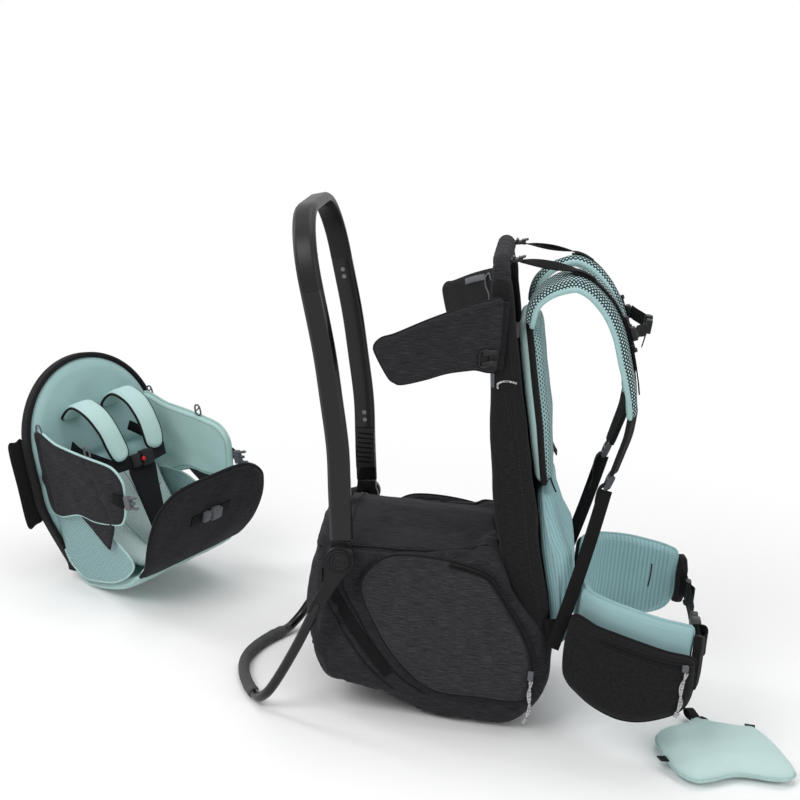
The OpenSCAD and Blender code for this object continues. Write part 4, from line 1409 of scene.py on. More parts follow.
WING_TURN = {"right": 24, "left": 52}
WING_AT = (-16, -129.4)
WING_SIDE = [
    (2, 560), (2, 652), (28, 655), (60, 646), (110, 628), (160, 607), (180, 601), (190, 590), (186, 577),
    (166, 546), (156, 538), (144, 535), (110, 542), (78, 551), (40, 556),
]


def make_wings():
    for side, s in SIDES.items():
        a = math.radians(WING_TURN[side])
        ahead, out = (-math.cos(a), -math.sin(a)), (math.sin(a), -math.cos(a))

        def at(u, h):
            return WING_AT[0] + ahead[0] * u + out[0] * h, -s * (WING_AT[1] + ahead[1] * u + out[1] * h)

        def place(p, h):
            return np.stack([*at(p[:, 0], arr(h) + 5.0 * (p[:, 0] / 190) ** 2 - 2), p[:, 1]], 1)

        crown = lambda p: 4.6 + 1.6 * np.sin(np.clip(p[:, 0] / 190, 0, 1) * math.pi)
        q = Quilt(WING_SIDE, place, crown, 4.2, step=5, edge=7, wobble=0.9, seed=5 + s)
        root = [(*(k * MM for k in at(u, 0)), 0.6) for u in (0, 34)]
        soft = ("frame", f"wing_{side}", *root)
        cushion(f"wing_pad_{side}", q, "heather_up", soft, (f"wing_{side}",), back="black_cloth")
        piece(f"wing_edge_{side}", q.piping(1.5), "binding", soft)
        piece(f"wing_stitch_{side}", q.hems(6, 7), "thread", soft)
        hinge = lathe(
            [(0.1, 96), (4.2, 96), (4.8, 95), (4.8, 1), (4.2, 0), (0.1, 0)], (WING_AT[0], s * 129.4, 558),
            (0, 0, 1), 20
        )
        piece(f"wing_root_{side}", hinge, "black_cloth", f"wing_{side}")
        loops = []
        for u0, z0 in ((18, 582), (18, 566)):
            line = [(u0 - 10, z0), (u0 - 4, z0 + 1), (u0 + 4, z0), (u0 + 12, z0 - 1)]
            p = q.on(curve(line, 2), 1.2)
            n = q.on(curve(line, 2), 2.2) - p
            p = p + unit(n) * (1.8 * np.sin(np.linspace(0, math.pi, len(p))))[:, None]
            loops.append(sweep(p, np.cross(n, tangents(p)), rounded(8, 1.3, 0.6, 2)))
        u0, z0 = 26, 574
        frame_line = curve(
            [(u0 - 7, z0 - 10), (u0 + 7, z0 - 11), (u0 + 8, z0 + 9), (u0 - 6, z0 + 10)], 2, True
        )
        loops.append(tube(q.on(frame_line, 2.0), 1.5, 8, True))
        piece(f"wing_triglide_{side}", together(*loops), "black_plastic", f"wing_{side}")
        inner_hook = curve([(42, 632), (50, 642), (58, 633), (54, 620), (45, 610), (42, 600)], 2)
        hook = tube(q.on(inner_hook, 2.6, -1), 1.5, 8)
        strap = q.band(curve([(62, 634), (90, 625), (116, 615)], 3), 1.0, rounded(10, 1.6, 0.7, 2), -1)
        piece(f"wing_hook_{side}", together(hook, strap), "grey_plastic", f"wing_{side}")


make_wings()


# ---------- harness ----------
STRAP_Y = 85
STRAP_LINE = [
    (19, 618.9), (24, 650), (39, 670), (59, 683), (79, 689), (100, 682), (118, 668), (135, 648),
    (150, 620), (162, 584), (171, 550), (177, 520), (180, 498),
]
STRAP_TAIL = [(180.2, 497.5), (178, 470), (171, 440), (163, 408)]
RAIL = [(154, 640), (171.6, 596)]
LIFTER = [(-4, 706.6), (18, 707.4), (50, 706), (78, 703), (92, 699), (105, 691.6)]
WEB_HEAD, WEB_FOOT = (155.6, -90, 385.2), (104, -140, 150)


def make_straps():
    for side, s in SIDES.items():
        body = "harness"
        place, long = lying(curve([(x, s * STRAP_Y, z) for x, z in STRAP_LINE], 4), (0, -s, 0))
        if s > 0:
            base = place
            place = lambda p, h, base=base: base(p, -arr(h))
        w = 31
        half = [
            (-22, 2), (-26, 30), (-w, 90), (-w, 190), (-w + 1, 280), (-w + 6, long - 24),
            (-w + 14, long - 4)
        ]
        outline = both(half, (0, long + 1)) + [(0, 0)]
        turned = lambda p: 0.19 * p[:, 0] * np.clip((p[:, 1] - 20) / 70, 0, 1) * np.clip(
            (long - 16 - p[:, 1]) / 70, 0, 1
        )
        low = lambda p, h, lying=place: lying(p, arr(h) - 4.6 + turned(arr(p)))
        q = Quilt(outline, low, 12.4, 3.8, step=4.5, edge=9, wobble=0.8, seed=2 + s)
        cushion(f"strap_{side}", q, "strap_mesh", body, (f"shoulder_strap_{side}",), back="teal_knit")
        piece(f"strap_roll_{side}", q.piping(4.0, 0.5, 10), "teal_knit_shaded", body)
        piece(f"strap_stitch_{side}", q.hems(5, 6.5), "thread", body)
        web = q.band(curve([(-1, 96), (-2, 150), (-1, 204), (1, 262)], 4), 1.4, rounded(21, 1.8, 0.8, 2))
        over = q.band(curve([(1, 196), (2, 240), (3, 298)], 4), 3.0, rounded(17, 1.8, 0.8, 2))
        piece(f"strap_web_{side}", together(web, over), "webbing", body)
        cross = together(*[q.stitches([(a, 206), (b, 230)]) for a, b in ((-8, -8), (9, 9), (-8, 9))])
        n0 = q.on([(0, 218)], 1)[0] - q.on([(0, 218)], 0)[0]
        piece(f"strap_cross_{side}", (cross[0] + unit(n0) * 3.2, cross[1], cross[2]), "thread", body)
        a, b = arr((RAIL[0][0], s * STRAP_Y, RAIL[0][1])), arr((RAIL[1][0], s * STRAP_Y, RAIL[1][1]))
        rail = [tube(np.linspace(a, b, 12), 2.0, 10)]
        stop = [(0.1, 3), (3.4, 3), (4.0, 2), (4.0, -2), (3.4, -3), (0.1, -3)]
        rail += [lathe(stop, k, b - a, 16) for k in (a, b)]
        piece(f"chest_rail_{side}", together(*rail), "black_plastic", body)


def ladder_lock(at, x, y, w, h):
    """A ladder lock: two rounded cheeks joined by three bars. x across, y along the webbing."""
    x, y = unit(x), unit(y)
    n = np.cross(x, y)
    made = []
    for k in (-1, 1):
        cheek = [
            (-h / 2, -3.4), (-h / 2 + 3, -4.4), (h / 2 - 5, -4.2), (h / 2, -1), (h / 2 - 1, 3.5),
            (0, 4.4), (-h / 2 + 2, 3.4)
        ]
        made.append(plate(cheek, arr(at) + x * k * (w / 2 - 1.6), y, n, 3.2, 0.8))
    for v, lift, t in ((-0.42, 0, 4.2), (-0.06, 2.2, 3.4), (0.36, -0.4, 5)):
        mid = arr(at) + y * h * v + n * lift
        made.append(bar(mid - x * (w / 2 - 2), mid + x * (w / 2 - 2), n, 3.2, t, 0.9))
    lip = [(3 - w / 2, h * 0.3), (w / 2 - 3, h * 0.3), (w / 2 - 5, h * 0.62), (5 - w / 2, h * 0.62)]
    made.append(plate(lip, arr(at) + n * 1.5, x, y, 2.4, 0.8))
    return together(*made)


def make_strap_ends():
    for side, s in SIDES.items():
        place, long = lying(curve([(x, s * STRAP_Y, z) for x, z in STRAP_TAIL], 3), (0, 1, 0))
        outline = both([(-13, -12), (-16, 6), (-15.5, 40), (-13.5, 80), (-11, long - 2)]) + [(0, -20)]
        turned = lambda p, h, lying=place, s=s: lying(p, arr(h) - 0.35 * s * arr(p)[:, 0])
        q = Quilt(
            outline, turned, 3.8, 3.4, step=4, edge=5, seams=[[(0, -10), (0, 30), (0, long - 8)]],
            dent=1.8, dent_w=2.2, wobble=0.8, seed=8 + s
        )
        cushion(f"strap_tail_{side}", q, "black_cloth", "harness", (f"strap_end_{side}",))
        piece(f"strap_tail_edge_{side}", q.piping(1.5), "binding", "harness")
        lock_at = arr((163 - 3.5, s * STRAP_Y, 408 - 9))
        down = unit((-0.34, 0, -1))
        piece(f"strap_lock_{side}", ladder_lock(lock_at, (0, 1, 0), down, 30, 24), "mid_plastic", "harness")


def make_webbing():
    made = []
    for s in SIDES.values():
        head, foot = arr(WEB_HEAD), arr(WEB_FOOT)
        bow = arr((2.5, -1.5, 0))
        line = arr([head + (foot - head) * k + bow * math.sin(k * math.pi) for k in np.linspace(0, 1, 40)])
        t = unit(foot - head)
        made.append(side_of(webbing(line, np.cross(t, (0, 1, 0)), 20, 1.9), s))
        tail = curve(
            [(153, -86, 392), (146, -84, 384), (143, -86, 366), (144.5, -88, 344), (141, -89, 330)], 3
        )
        made.append(side_of(webbing(tail, (0, 1, 0), 17), s))
    piece(
        "harness_straps", together(*made), "webbing",
        ("frame", "harness", (0.108, 0, 0.17), (0.148, 0, 0.35)), ("harness_webbing",)
    )


def make_lifters():
    for side, s in SIDES.items():
        line = curve([(x, s * STRAP_Y, z) for x, z in LIFTER], 3)
        line = line + np.stack(
            [0 * line[:, 0], 0 * line[:, 0], -1.6 * np.sin(np.linspace(0, math.pi, len(line)))], 1
        )
        twist = 0.6 * np.sin(np.clip(np.linspace(0, 1.35, len(line)), 0, 1) * math.pi)
        across = np.stack([0 * twist, np.cos(twist), -s * np.sin(twist)], 1)
        piece(
            f"lifter_{side}", webbing(line, across, 18, 1.7), "webbing",
            ("frame", "harness", (0.004, 0, 0.70), (0.085, 0, 0.70)), once("load_lifters", s)
        )
        y = s * STRAP_Y
        parts = [
            plate(
                [(-10, -11), (-3, -12), (4, -9), (9, -8), (9, 8), (4, 9), (-3, 12), (-10, 11)],
                (-9, y, 708), (1, 0, 0.12), (0, 1, 0), 4.6, 1.2
            ),
            bar((-13, y - 10, 711.5), (-13, y + 10, 711.5), (1, 0, 0), 4, 3.2, 1.0),
            bar((-5, y - 9, 711.6), (-5, y + 9, 711.6), (1, 0, 0), 3.4, 2.6, 0.9),
            plate(
                [(-4, -8), (3, -8), (5, -5), (5, 5), (3, 8), (-4, 8)], (-1, y, 712.8), (1, 0, 0.35),
                (0, 1, 0), 2.2, 0.7
            ),
            webbing(curve([(-26, y, 699), (-20, y, 707), (-12, y, 706.4)], 2), (0, 1, 0), 17),
        ]
        piece(f"lifter_buckle_{side}", together(*parts), "black_plastic", "frame", once("lifter_buckles", s))


PAD_FRONT = [(383, 77), (412, 72), (473, 64), (532, 51), (591, 39), (619, 31)]


def make_back_pads():
    def pad_at(z):
        low, high = by_z(SLEEVE_FRONT, z) + 1.2, by_z(PAD_FRONT, z)
        return (low + high) / 2, (high - low) / 2

    def place(p, h):
        mid, _ = pad_at(p[:, 1])
        return np.stack([mid + arr(h), p[:, 0], p[:, 1]], 1)

    outline = both([(-96, 388), (-103, 410), (-104, 500), (-100, 580), (-84, 612), (-50, 619)], (0, 618))
    outline += [(50, 384), (0, 386), (-50, 384)]
    seams = [[(0, 392), (0, 450), (0, 540), (0, 612)]]
    front = lambda p: pad_at(p[:, 1])[1] + 2.5 * (1 - (p[:, 0] / 104) ** 2) + 0.8
    q = Quilt(
        outline, place, front, lambda p: pad_at(p[:, 1])[1] * 0.96, step=5, edge=15, seams=seams, dent=7,
        dent_w=9, wobble=1.0, seed=12
    )
    cushion("back_mesh", q, "pad_mesh", "harness", ("back_pad",), back="teal_knit")
    piece("back_binding", q.piping(5.0, 1.5), "binding", "harness")
    piece("back_stitch", q.stitches(q.ring(9)), "thread", "harness")
    tab = webbing(curve([(74, -96, 396), (79, -100, 386), (84, -103, 378)], 2), (0, 1, -0.3), 16, 2.2)
    piece("back_tabs", together(tab, mirrored(tab)), "webbing", "harness")
    lumbar_front = [
        (130, 112), (138, 122), (162, 127), (196, 128), (246, 125), (283, 116), (306, 101), (340, 86),
        (376, 78)
    ]

    def at(z):
        low, high = by_z(SLEEVE_FRONT, z) + 0.6, by_z(lumbar_front, z)
        return (low + high) / 2, np.maximum(high - low, 6) / 2

    def low_place(p, h):
        return np.stack([at(p[:, 1])[0] + arr(h), p[:, 0], p[:, 1]], 1)

    half = [(-80, 374), (-96, 352), (-104, 310), (-104, 200), (-100, 146), (-70, 134)]
    low_outline = both(half, (0, 132)) + [(0, 376)]
    low = Quilt(
        low_outline, low_place, lambda p: at(p[:, 1])[1] + 2.0, lambda p: at(p[:, 1])[1] * 0.95, step=5,
        edge=13, seams=[[(0, 140), (0, 250), (0, 370)]], dent=6, dent_w=10, wobble=1.0, seed=15
    )
    cushion("lumbar_ribs", low, "teal_cord", "frame", ("lumbar_pad",))
    piece("lumbar_edge", low.piping(2.6, -2), "teal_knit_deep_shaded", "frame")
    piece("lumbar_stitch", low.stitches(low.ring(7)), "pale_thread", "frame")


make_straps()
make_strap_ends()
make_webbing()
make_lifters()
make_back_pads()


# ---------- chest strap ----------
def side_release(at, x, y, long, wide, thick):
    """A side-release buckle along x: body, tip, two prongs and a tongue."""
    x, y = unit(x), unit(y)
    h, w = long / 2, wide / 2
    half = [(-0.04, -0.5), (-0.1, -1), (0.55, -1), (0.9, -0.86), (1, -0.7)]
    body = [(a * h, b * w) for a, b in [*half[1:], *[(a, -b) for a, b in half[::-1]], half[0]]]
    half = [(-1, -0.8), (-0.5, -0.86), (-0.22, -0.6)]
    tip = [(a * h, b * w) for a, b in [*half, *[(a, -b) for a, b in half[::-1]]]]
    made = [plate(body, at, x, y, thick, 1.6), plate(tip, at, x, y, thick * 0.8, 1.2)]
    for k in (-1, 1):
        prong = [(-0.3, 0.62), (0.1, 0.98), (0.3, 1.02), (0.34, 0.9), (0.05, 0.7), (-0.28, 0.4)]
        prong = [(a * h, k * b * w) for a, b in prong]
        made.append(plate(prong, at, x, y, thick * 0.62, 0.7))
    tongue = [(a * h, b * w) for a, b in ((-0.22, -0.16), (0.2, -0.16), (0.2, 0.16), (-0.22, 0.16))]
    made.append(plate(tongue, at, x, y, thick * 0.6, 0.6))
    return together(*made)


def make_sternum():
    mid = arr(((RAIL[0][0] + RAIL[1][0]) / 2, 0, (RAIL[0][1] + RAIL[1][1]) / 2))
    along = unit((RAIL[1][0] - RAIL[0][0], 0, RAIL[1][1] - RAIL[0][1]))
    out = arr((-along[2], 0, along[0]))
    webs, clips = [], []
    for s in (-1, 1):
        at = mid + (0, s * STRAP_Y, 0)
        clip = [(-9, -8), (9, -8), (10, -5), (10, 5), (9, 8), (-9, 8), (-10, 5), (-10, -5)]
        clips.append(plate(clip, at + out * 5.2, along, (0, 1, 0), 7.4, 1.4))
        clips.append(bar(at + out * 9.2 - along * 8, at + out * 9.2 + along * 8, (0, 1, 0), 4, 2, 0.7))
        line = curve(
            [at + out * 8 + (0, -s * 6, 0), (176, s * 62, 620), (187, s * 40, 618), (191, s * 20, 618.5)],
            3
        )
        webs.append(webbing(line, (0.1, 0, 1), 19, 1.8))
    tail = curve([(192, 14, 619), (194, 24, 612), (193, 32, 596), (190, 34, 578)], 3)
    webs.append(webbing(tail, (0.2, 1, 0.3), 17))
    piece("chest_web", together(*webs), "webbing", "sternum", ("sternum_strap",))
    buckle = side_release((192, 0, 619), (0, 1, 0), (0.08, 0, 1), 46, 25, 11)
    piece("chest_buckle", together(buckle, *clips), "black_plastic", "sternum", ("sternum_buckle",))


make_sternum()


# ---------- hip belt ----------
HIP_LINE = [
    (141, -98), (145, -116), (158, -135), (180, -151), (210, -163), (240, -169), (270, -169), (300, -162)
]
HIP_SIDE = [
    (
        124, 232
    ), (150, 240), (206, 235), (250, 228), (286, 222), (300, 214), (303, 180), (303, 140), (285, 114),
    (250, 100), (200, 97), (150, 108), (124, 130),
]
HIP_POCKET = [
    (150, 204), (180, 205), (223, 199), (262, 190), (296, 181), (303, 160), (303, 130), (290, 104),
    (262, 86), (230, 76), (200, 78), (168, 92), (148, 118),
]
HIP_BEND = ((0.132, 0, 0.17), (0.182, 0, 0.17))  # two points, in metres, passed along with the hip pieces' body names


def make_hips():
    line = curve([(x, y, 0) for x, y in HIP_LINE], 3)
    run = lengths(line)
    forward = np.maximum.accumulate(line[:, 0])
    rising = forward + np.arange(len(forward)) * 1e-6
    root = HIP_LINE[0][0]

    def u_of(x):
        """How far along the hip line an x lies."""
        return float(np.interp(x, rising, run)) if x > root else (x - root) * 0.6

    t = tangents(line)
    out = np.stack([t[:, 1], -t[:, 0]], 1)

    def placer(s, base=0.0):
        def place(p, h):
            u = np.clip(p[:, 0], 0, run[-1])
            at = lambda table: arr([np.interp(u, run, table[:, k]) for k in (0, 1)])
            x, y = at(line) + at(out) * (arr(h) + base) + at(t) * (p[:, 0] - u)
            return np.stack([x, -s * y, p[:, 1]], 1)

        return place

    outline = [(u_of(x), z) for x, z in HIP_SIDE]
    for side, s in SIDES.items():
        body = f"hip_{side}"
        soft = ("frame", body, *HIP_BEND)
        rear = lambda p: 11.5 + 1.5 * np.sin(p[:, 0] / 18.0) * (s > 0)
        q = Quilt(outline, placer(s), 9.5, rear, step=5, edge=12, wobble=1.2, seed=20 + s)
        look = "teal_knit_deep_shaded" if s < 0 else "black_cloth"
        cushion(f"hip_pad_soft_{side}", q, look, soft, (f"hip_pad_{side}",), back="teal_cord")
        piece(f"hip_edge_{side}", q.piping(2.4, 0), "teal_knit_deep_shaded", soft)
        slit = curve([(u_of(262), 192), (u_of(262), 172), (u_of(260), 152)], 2)
        piece(f"hip_slit_{side}", q.band(slit, 0.2, rounded(2.4, 0.8, 0.3, 2), -1), "thread", body)
        piece(f"hip_stitch_{side}", q.hems(8, 7), "pale_thread", soft)
    pocket_line = [(u_of(x), z) for x, z in HIP_POCKET]
    zip_path = [(u_of(186), 190), (u_of(235), 181), (u_of(292), 170.5)]
    folds = [[(160, 182), (176, 168), (186, 150)], [(156, 150), (174, 140)], [(230, 84), (238, 104)]]
    seams = [zip_path, *[[(u_of(x), z) for x, z in fold] for fold in folds]]
    crown = lambda p: 11.5 + 3.0 * np.sin(np.clip((p[:, 1] - 76) / 130, 0, 1) * math.pi)
    place = placer(-1, 24.4)
    q = Quilt(
        pocket_line, place, crown, 11.4, step=5, edge=16, seams=seams, dent=1.8, dent_w=4.5, wobble=1.6,
        seed=31
    )
    soft = ("frame", "hip_right", *HIP_BEND)
    cushion("hip_pouch", q, "black_cloth", soft, ("hip_pocket",))
    piece("hip_pouch_edge", q.piping(1.8, 2), "binding", soft)
    zp = curve(zip_path, 3)
    p = q.on(zp, 1.3)
    n = q.on(zp, 2.3) - p
    teeth_at = even(p + unit(n) * 0.9, TOOTH_PITCH)
    tape = sweep(p, np.cross(n, tangents(p)), rounded(7, 1.1, 0.5, 2))
    teeth = stitch_row(teeth_at, np.tile(unit(n[len(n) // 2]), (len(teeth_at), 1)), 1.2, 1.0)
    piece("hip_zip_tape", together(tape, teeth), "zip", "hip_right", ("hip_zip",))
    threads = [*[q.stitches([(u, z + k) for u, z in zip_path]) for k in (7, -7)], q.stitches(q.ring(10))]
    piece("hip_pouch_stitch", together(*threads), "thread", soft)


BELT_X, BELT_Z, TIP_Y = 318, 166, 158
TIP_H = 42


def make_hip_belts():
    for side, s in SIDES.items():
        inner = 62 if s < 0 else 7
        end = [(-12, TIP_H), (-12, -TIP_H), (4, 4 - TIP_H), (12, -22), (12, 22), (4, TIP_H - 4)]
        end = plate(end, (311, -(TIP_Y + 3.5), 168), (0.35, 1, 0), (0, 0, 1), 13, 3)
        hip = f"hip_{side}"
        piece(f"belt_tip_{side}", side_of(end, s), "black_cloth", hip, (f"hip_belt_{side}",))
        sway = lambda k: 1.8 * math.sin(k * math.pi)
        a, b = TIP_Y - 9, inner
        shares = np.linspace(0, 1, 24)
        path = [(BELT_X + sway(k) * 1.5, s * (a + (b - a) * k), BELT_Z - sway(k) * 2.2) for k in shares]
        webs = [webbing(path, (0, 0, 1), 38, 2.2)]
        bars = []
        if s > 0:
            bars.append(ladder_lock((BELT_X + 1.5, 118, 164.5), (0, 0, 1), (0, -1, 0), 40, 22))
            loop = curve([(BELT_X + 5, 108, 165), (BELT_X + 9, 92, BELT_Z), (BELT_X + 6, 74, 168)], 3)
            webs.append(webbing(loop, (0, 0, 1), 34, 1.8))
        else:
            loop = curve(
                [
                    (BELT_X + 3, -66, 168), (BELT_X + 11, -78, 172), (BELT_X + 12, -96, 170),
                    (BELT_X + 5, -108, BELT_Z)
                ],
                3
            )
            webs.append(webbing(loop, (0, 0, 1), 34, 1.8))
        piece(f"belt_web_{side}", together(*webs), "webbing", hip)
        y, z = arr((0, 1, 0)), arr((0, 0, 1))
        if s < 0:
            half = [(-17, -18), (-8, -20), (10, -20), (16.5, -17), (16.5, -9), (10, -8)]
            body = half + [(a, -b) for a, b in half[::-1]]
            bars.append(plate(body, (BELT_X, -45, BELT_Z), y, z, 13.5, 2.4))
            bars.append(
                plate(
                    [(-13, -13), (4, -13), (4, 13), (-13, 13)], (BELT_X + 3.2, -45, BELT_Z), y, z, 9.5,
                    2.0
                )
            )
        else:
            body = [(10, -17), (2, -17), (-4, -11), (-9, -9), (-10, 0), (-9, 9), (-4, 11), (2, 17), (10, 17)]
            bars.append(plate(body, (BELT_X, -17, BELT_Z), y, z, 11, 1.8))
            for k in (-1, 1):
                bars.append(
                    bar(
                        (BELT_X, -6, BELT_Z + k * 13), (BELT_X, -26, BELT_Z + k * 15.5), (1, 0, 0), 7,
                        4.5, 1.2
                    )
                )
        piece(f"belt_buckle_{side}", together(*bars), "black_plastic", hip)


make_hips()
make_hip_belts()


# ---------- child seat ----------
SEAT_AT = (-600, 300, 21.6)
SEAT_TURN = (8, -14, -35)
SEAT_BACK_X, SEAT_Y, SEAT_R, SEAT_MID_Z = -98, 128, 146, 254
FLAP_X, NET_Y = -110.2, 119.5


def seat_matrix():
    turn = Matrix.Identity(3)
    for axis, a in zip("XYZ", SEAT_TURN):
        turn = Matrix.Rotation(math.radians(a), 3, axis) @ turn
    return arr(turn)


SEAT_M = seat_matrix()


def seated(p):
    """Points in the seat's own frame, in the row frame."""
    return arr(p) @ SEAT_M.T + SEAT_AT


def seat_made(made):
    """A mesh in the seat's own frame, put in place."""
    return seated(made[0]), made[1], made[2]


def seat_quilt(outline, place, *args, **kw):
    """A padded panel in the seat's own frame."""
    return Quilt(outline, lambda p, h: seated(place(arr(p), arr(h))), *args, **kw)


def make_seat_back():
    r = SEAT_R - 6
    outline = [(r * math.cos(a), SEAT_MID_Z + r * math.sin(a)) for a in np.linspace(0, math.pi, 20)]
    outline += both([(-r, 200), (-r + 2, 150), (-r + 34, 52), (-r + 44, 32)], (0, 28))
    curl = lambda p: 5 * (p[:, 0] / r) ** 2
    place = lambda p, h: np.stack([SEAT_BACK_X + curl(p) + h, p[:, 0], p[:, 1]], 1)
    crown = lambda p: 11 + 4.5 * np.clip((p[:, 1] - 215) / 40, 0, 1)
    seam = both([(-r, 206), (-70, 213)], (0, 215))
    q = seat_quilt(
        outline, place, crown, 10, step=6, edge=24, seams=[seam], dent=7, dent_w=8, wobble=1.2, seed=41
    )
    cushion("seat_back_pad", q, "teal_knit_shaded", "seat", ("seat_back",), back="black_cloth")
    threads = [q.stitches(q.ring(6)), q.stitches(both([(-130, 203), (-70, 209)], (0, 211)))]
    piece("seat_back_stitch", together(*threads), "pale_thread", "seat")
    rim = q.outline
    mid = np.stack([SEAT_BACK_X + 1 + curl(rim), rim[:, 0], rim[:, 1]], 1)
    mid[:, 1:] -= inwards(rim) * 2.5
    made = sweep(seated(mid), SEAT_M[:, 0], rounded(21, 9, 4, 3), True)
    flap_out = [
        (-167, 132), (-168, 205), (-167, 278), (-150, 282), (-136, 280), (-132, 205), (-130, 140),
        (-150, 130)
    ]
    behind = lambda p, h: np.stack([FLAP_X + h, p[:, 0], p[:, 1]], 1)
    flap = seat_quilt(flap_out, behind, 1.6, 1.6, step=5, edge=2, wobble=0.4, seed=4)
    piece("seat_rim", made, "binding", "seat", ("seat_binding",))
    piece("seat_flap", flap.made(), "velcro", "seat")
    piece("seat_flap_stitch", flap.hems(3, 3), "thread", "seat")


SEAT_WING = [
    (-85, 290), (-20, 271), (64, 247), (100, 236), (116, 226), (127, 208), (127, 190), (120, 160), (112, 142),
    (96, 132), (40, 136), (-2, 147), (-85, 152),
]


def upright(s, y):
    """A place for a flat pattern that stands at a side of the seat, y(p) out from its middle."""
    return lambda p, h: np.stack([p[:, 0], s * (y(p) + h), p[:, 1]], 1)


def swell(u, start, run):
    """0 at the start and after the run, 1 halfway."""
    return np.sin(np.clip((u - start) / run, 0, 1) * math.pi)


SEAT_TAB = [(-4, 149), (20, 122), (54, 86), (62, 92), (84, 134), (40, 140)]
SEAT_NET = [
    (
        -86, 146
    ), (-30, 146), (10, 132), (60, 96), (98, 62), (84, 40), (40, 22), (-20, 20), (-50, 26), (-82, 60),
]
HOOK_LOOP = [(-6, -8), (-6.5, 2), (-4, 8), (0, 9.2), (4, 8), (6.5, 2), (6, -8), (0, -10)]


def make_seat_wing(side, s):
    outer = upright(s, lambda p: SEAT_Y - 3 + 7 * swell(p[:, 0], -86, 214))
    seams = [[(-70, 284), (-70, 156)], [(52, 248), (66, 200), (84, 140)]]
    q = seat_quilt(
        SEAT_WING, outer, 4.2, 7.5, step=5.5, edge=9, seams=seams, dent=1.6, dent_w=3, wobble=2.2,
        seed=50 + s
    )
    cushion(f"seat_wing_{side}", q, "heather_up", "seat", once("seat_sides", s), back="teal_inner_lit")
    piece(f"seat_wing_edge_{side}", q.piping(2.4, -1), "pale_thread", "seat")
    piece(f"seat_wing_stitch_{side}", q.hems(6, 8), "thread", "seat")
    level = upright(s, lambda p: SEAT_Y + 1)
    tab = seat_quilt(SEAT_TAB, level, 2.0, 1.8, step=5, edge=2.5, wobble=1.5, seed=60 + s)
    piece(f"seat_tab_{side}", tab.made(), "heather_up", "seat", angle=SOFT_ANGLE)
    piece(f"seat_tab_stitch_{side}", tab.stitches(tab.ring(4)), "thread", "seat")


def make_seat_net(side, s):
    sag = lambda p: 6 * swell(p[:, 0], -86, 184) * swell(p[:, 1], 20, 126)
    net = seat_quilt(SEAT_NET, upright(s, lambda p: NET_Y - sag(p)), 0.5, 0.5, step=6, edge=1.2)
    sheet = piece(f"seat_net_{side}", net.made(), "side_mesh", "seat", angle=SOFT_ANGLE)
    area = abs(area_of(net.outline)) / 2
    hem = piece(f"seat_net_hem_{side}", net.piping(1.8), "pale_thread", "seat")


def make_seat_fittings(side, s):
    hooks = []
    for x in (-66, 56):
        z = 292 - (x + 86) * 0.307 + 11.4
        loop = curve([(x + a, s * SEAT_Y, z + b) for a, b in HOOK_LOOP], 1.5, True)
        gate = [(x - 6.5, s * SEAT_Y, z - 3), *[(x + k, s * (SEAT_Y + 3), z + 3 + k) for k in (-2, 2)]]
        hooks += [tube(loop, 1.6, 8, True), tube(curve(gate, 1.5), 1.2, 8)]
    piece(f"seat_hooks_{side}", seat_made(together(*hooks)), "grey_plastic", "seat", once("seat_hooks", s))
    at, x, z = arr((139, s * SEAT_Y, 172)), (1, 0, 0), (0, 0, 1)
    buckle = [plate([(-10, -12), (2, -12), (4, -6), (4, 6), (2, 12), (-10, 12)], at, x, z, 9, 1.6)]
    for k in (-1, 1):
        prong = [(2, 10.5), (16, 12), (21, 9.4), (17, 7), (9, 7.4), (3, 5)]
        buckle.append(plate([(a, k * b) for a, b in prong][::k], at, x, z, 5, 1.0))
    buckle.append(bar(at + (3, 0, 0), at + (13, 0, 0), z, 5, 4, 1))
    web = curve([(a, s * (SEAT_Y + b), c) for a, b, c in ((104, 6, 182), (118, 6, 177), (131, 1, 173))], 3)
    piece(
        f"seat_buckle_{side}", seat_made(together(*buckle)), "grey_plastic", "seat",
        once("seat_buckles", s)
    )
    piece(f"seat_buckle_web_{side}", seat_made(webbing(web, (0.3, 0, 1), 20, 1.8)), "webbing", "seat")


def make_seat_sides():
    for side, s in SIDES.items():
        make_seat_wing(side, s)
        make_seat_net(side, s)
        make_seat_fittings(side, s)


def seat_lying(path):
    """A place along a path (x, z) in the seat's middle plane."""
    return lying(curve([(x, 0, z) for x, z in path], 3), (0, 1, 0))


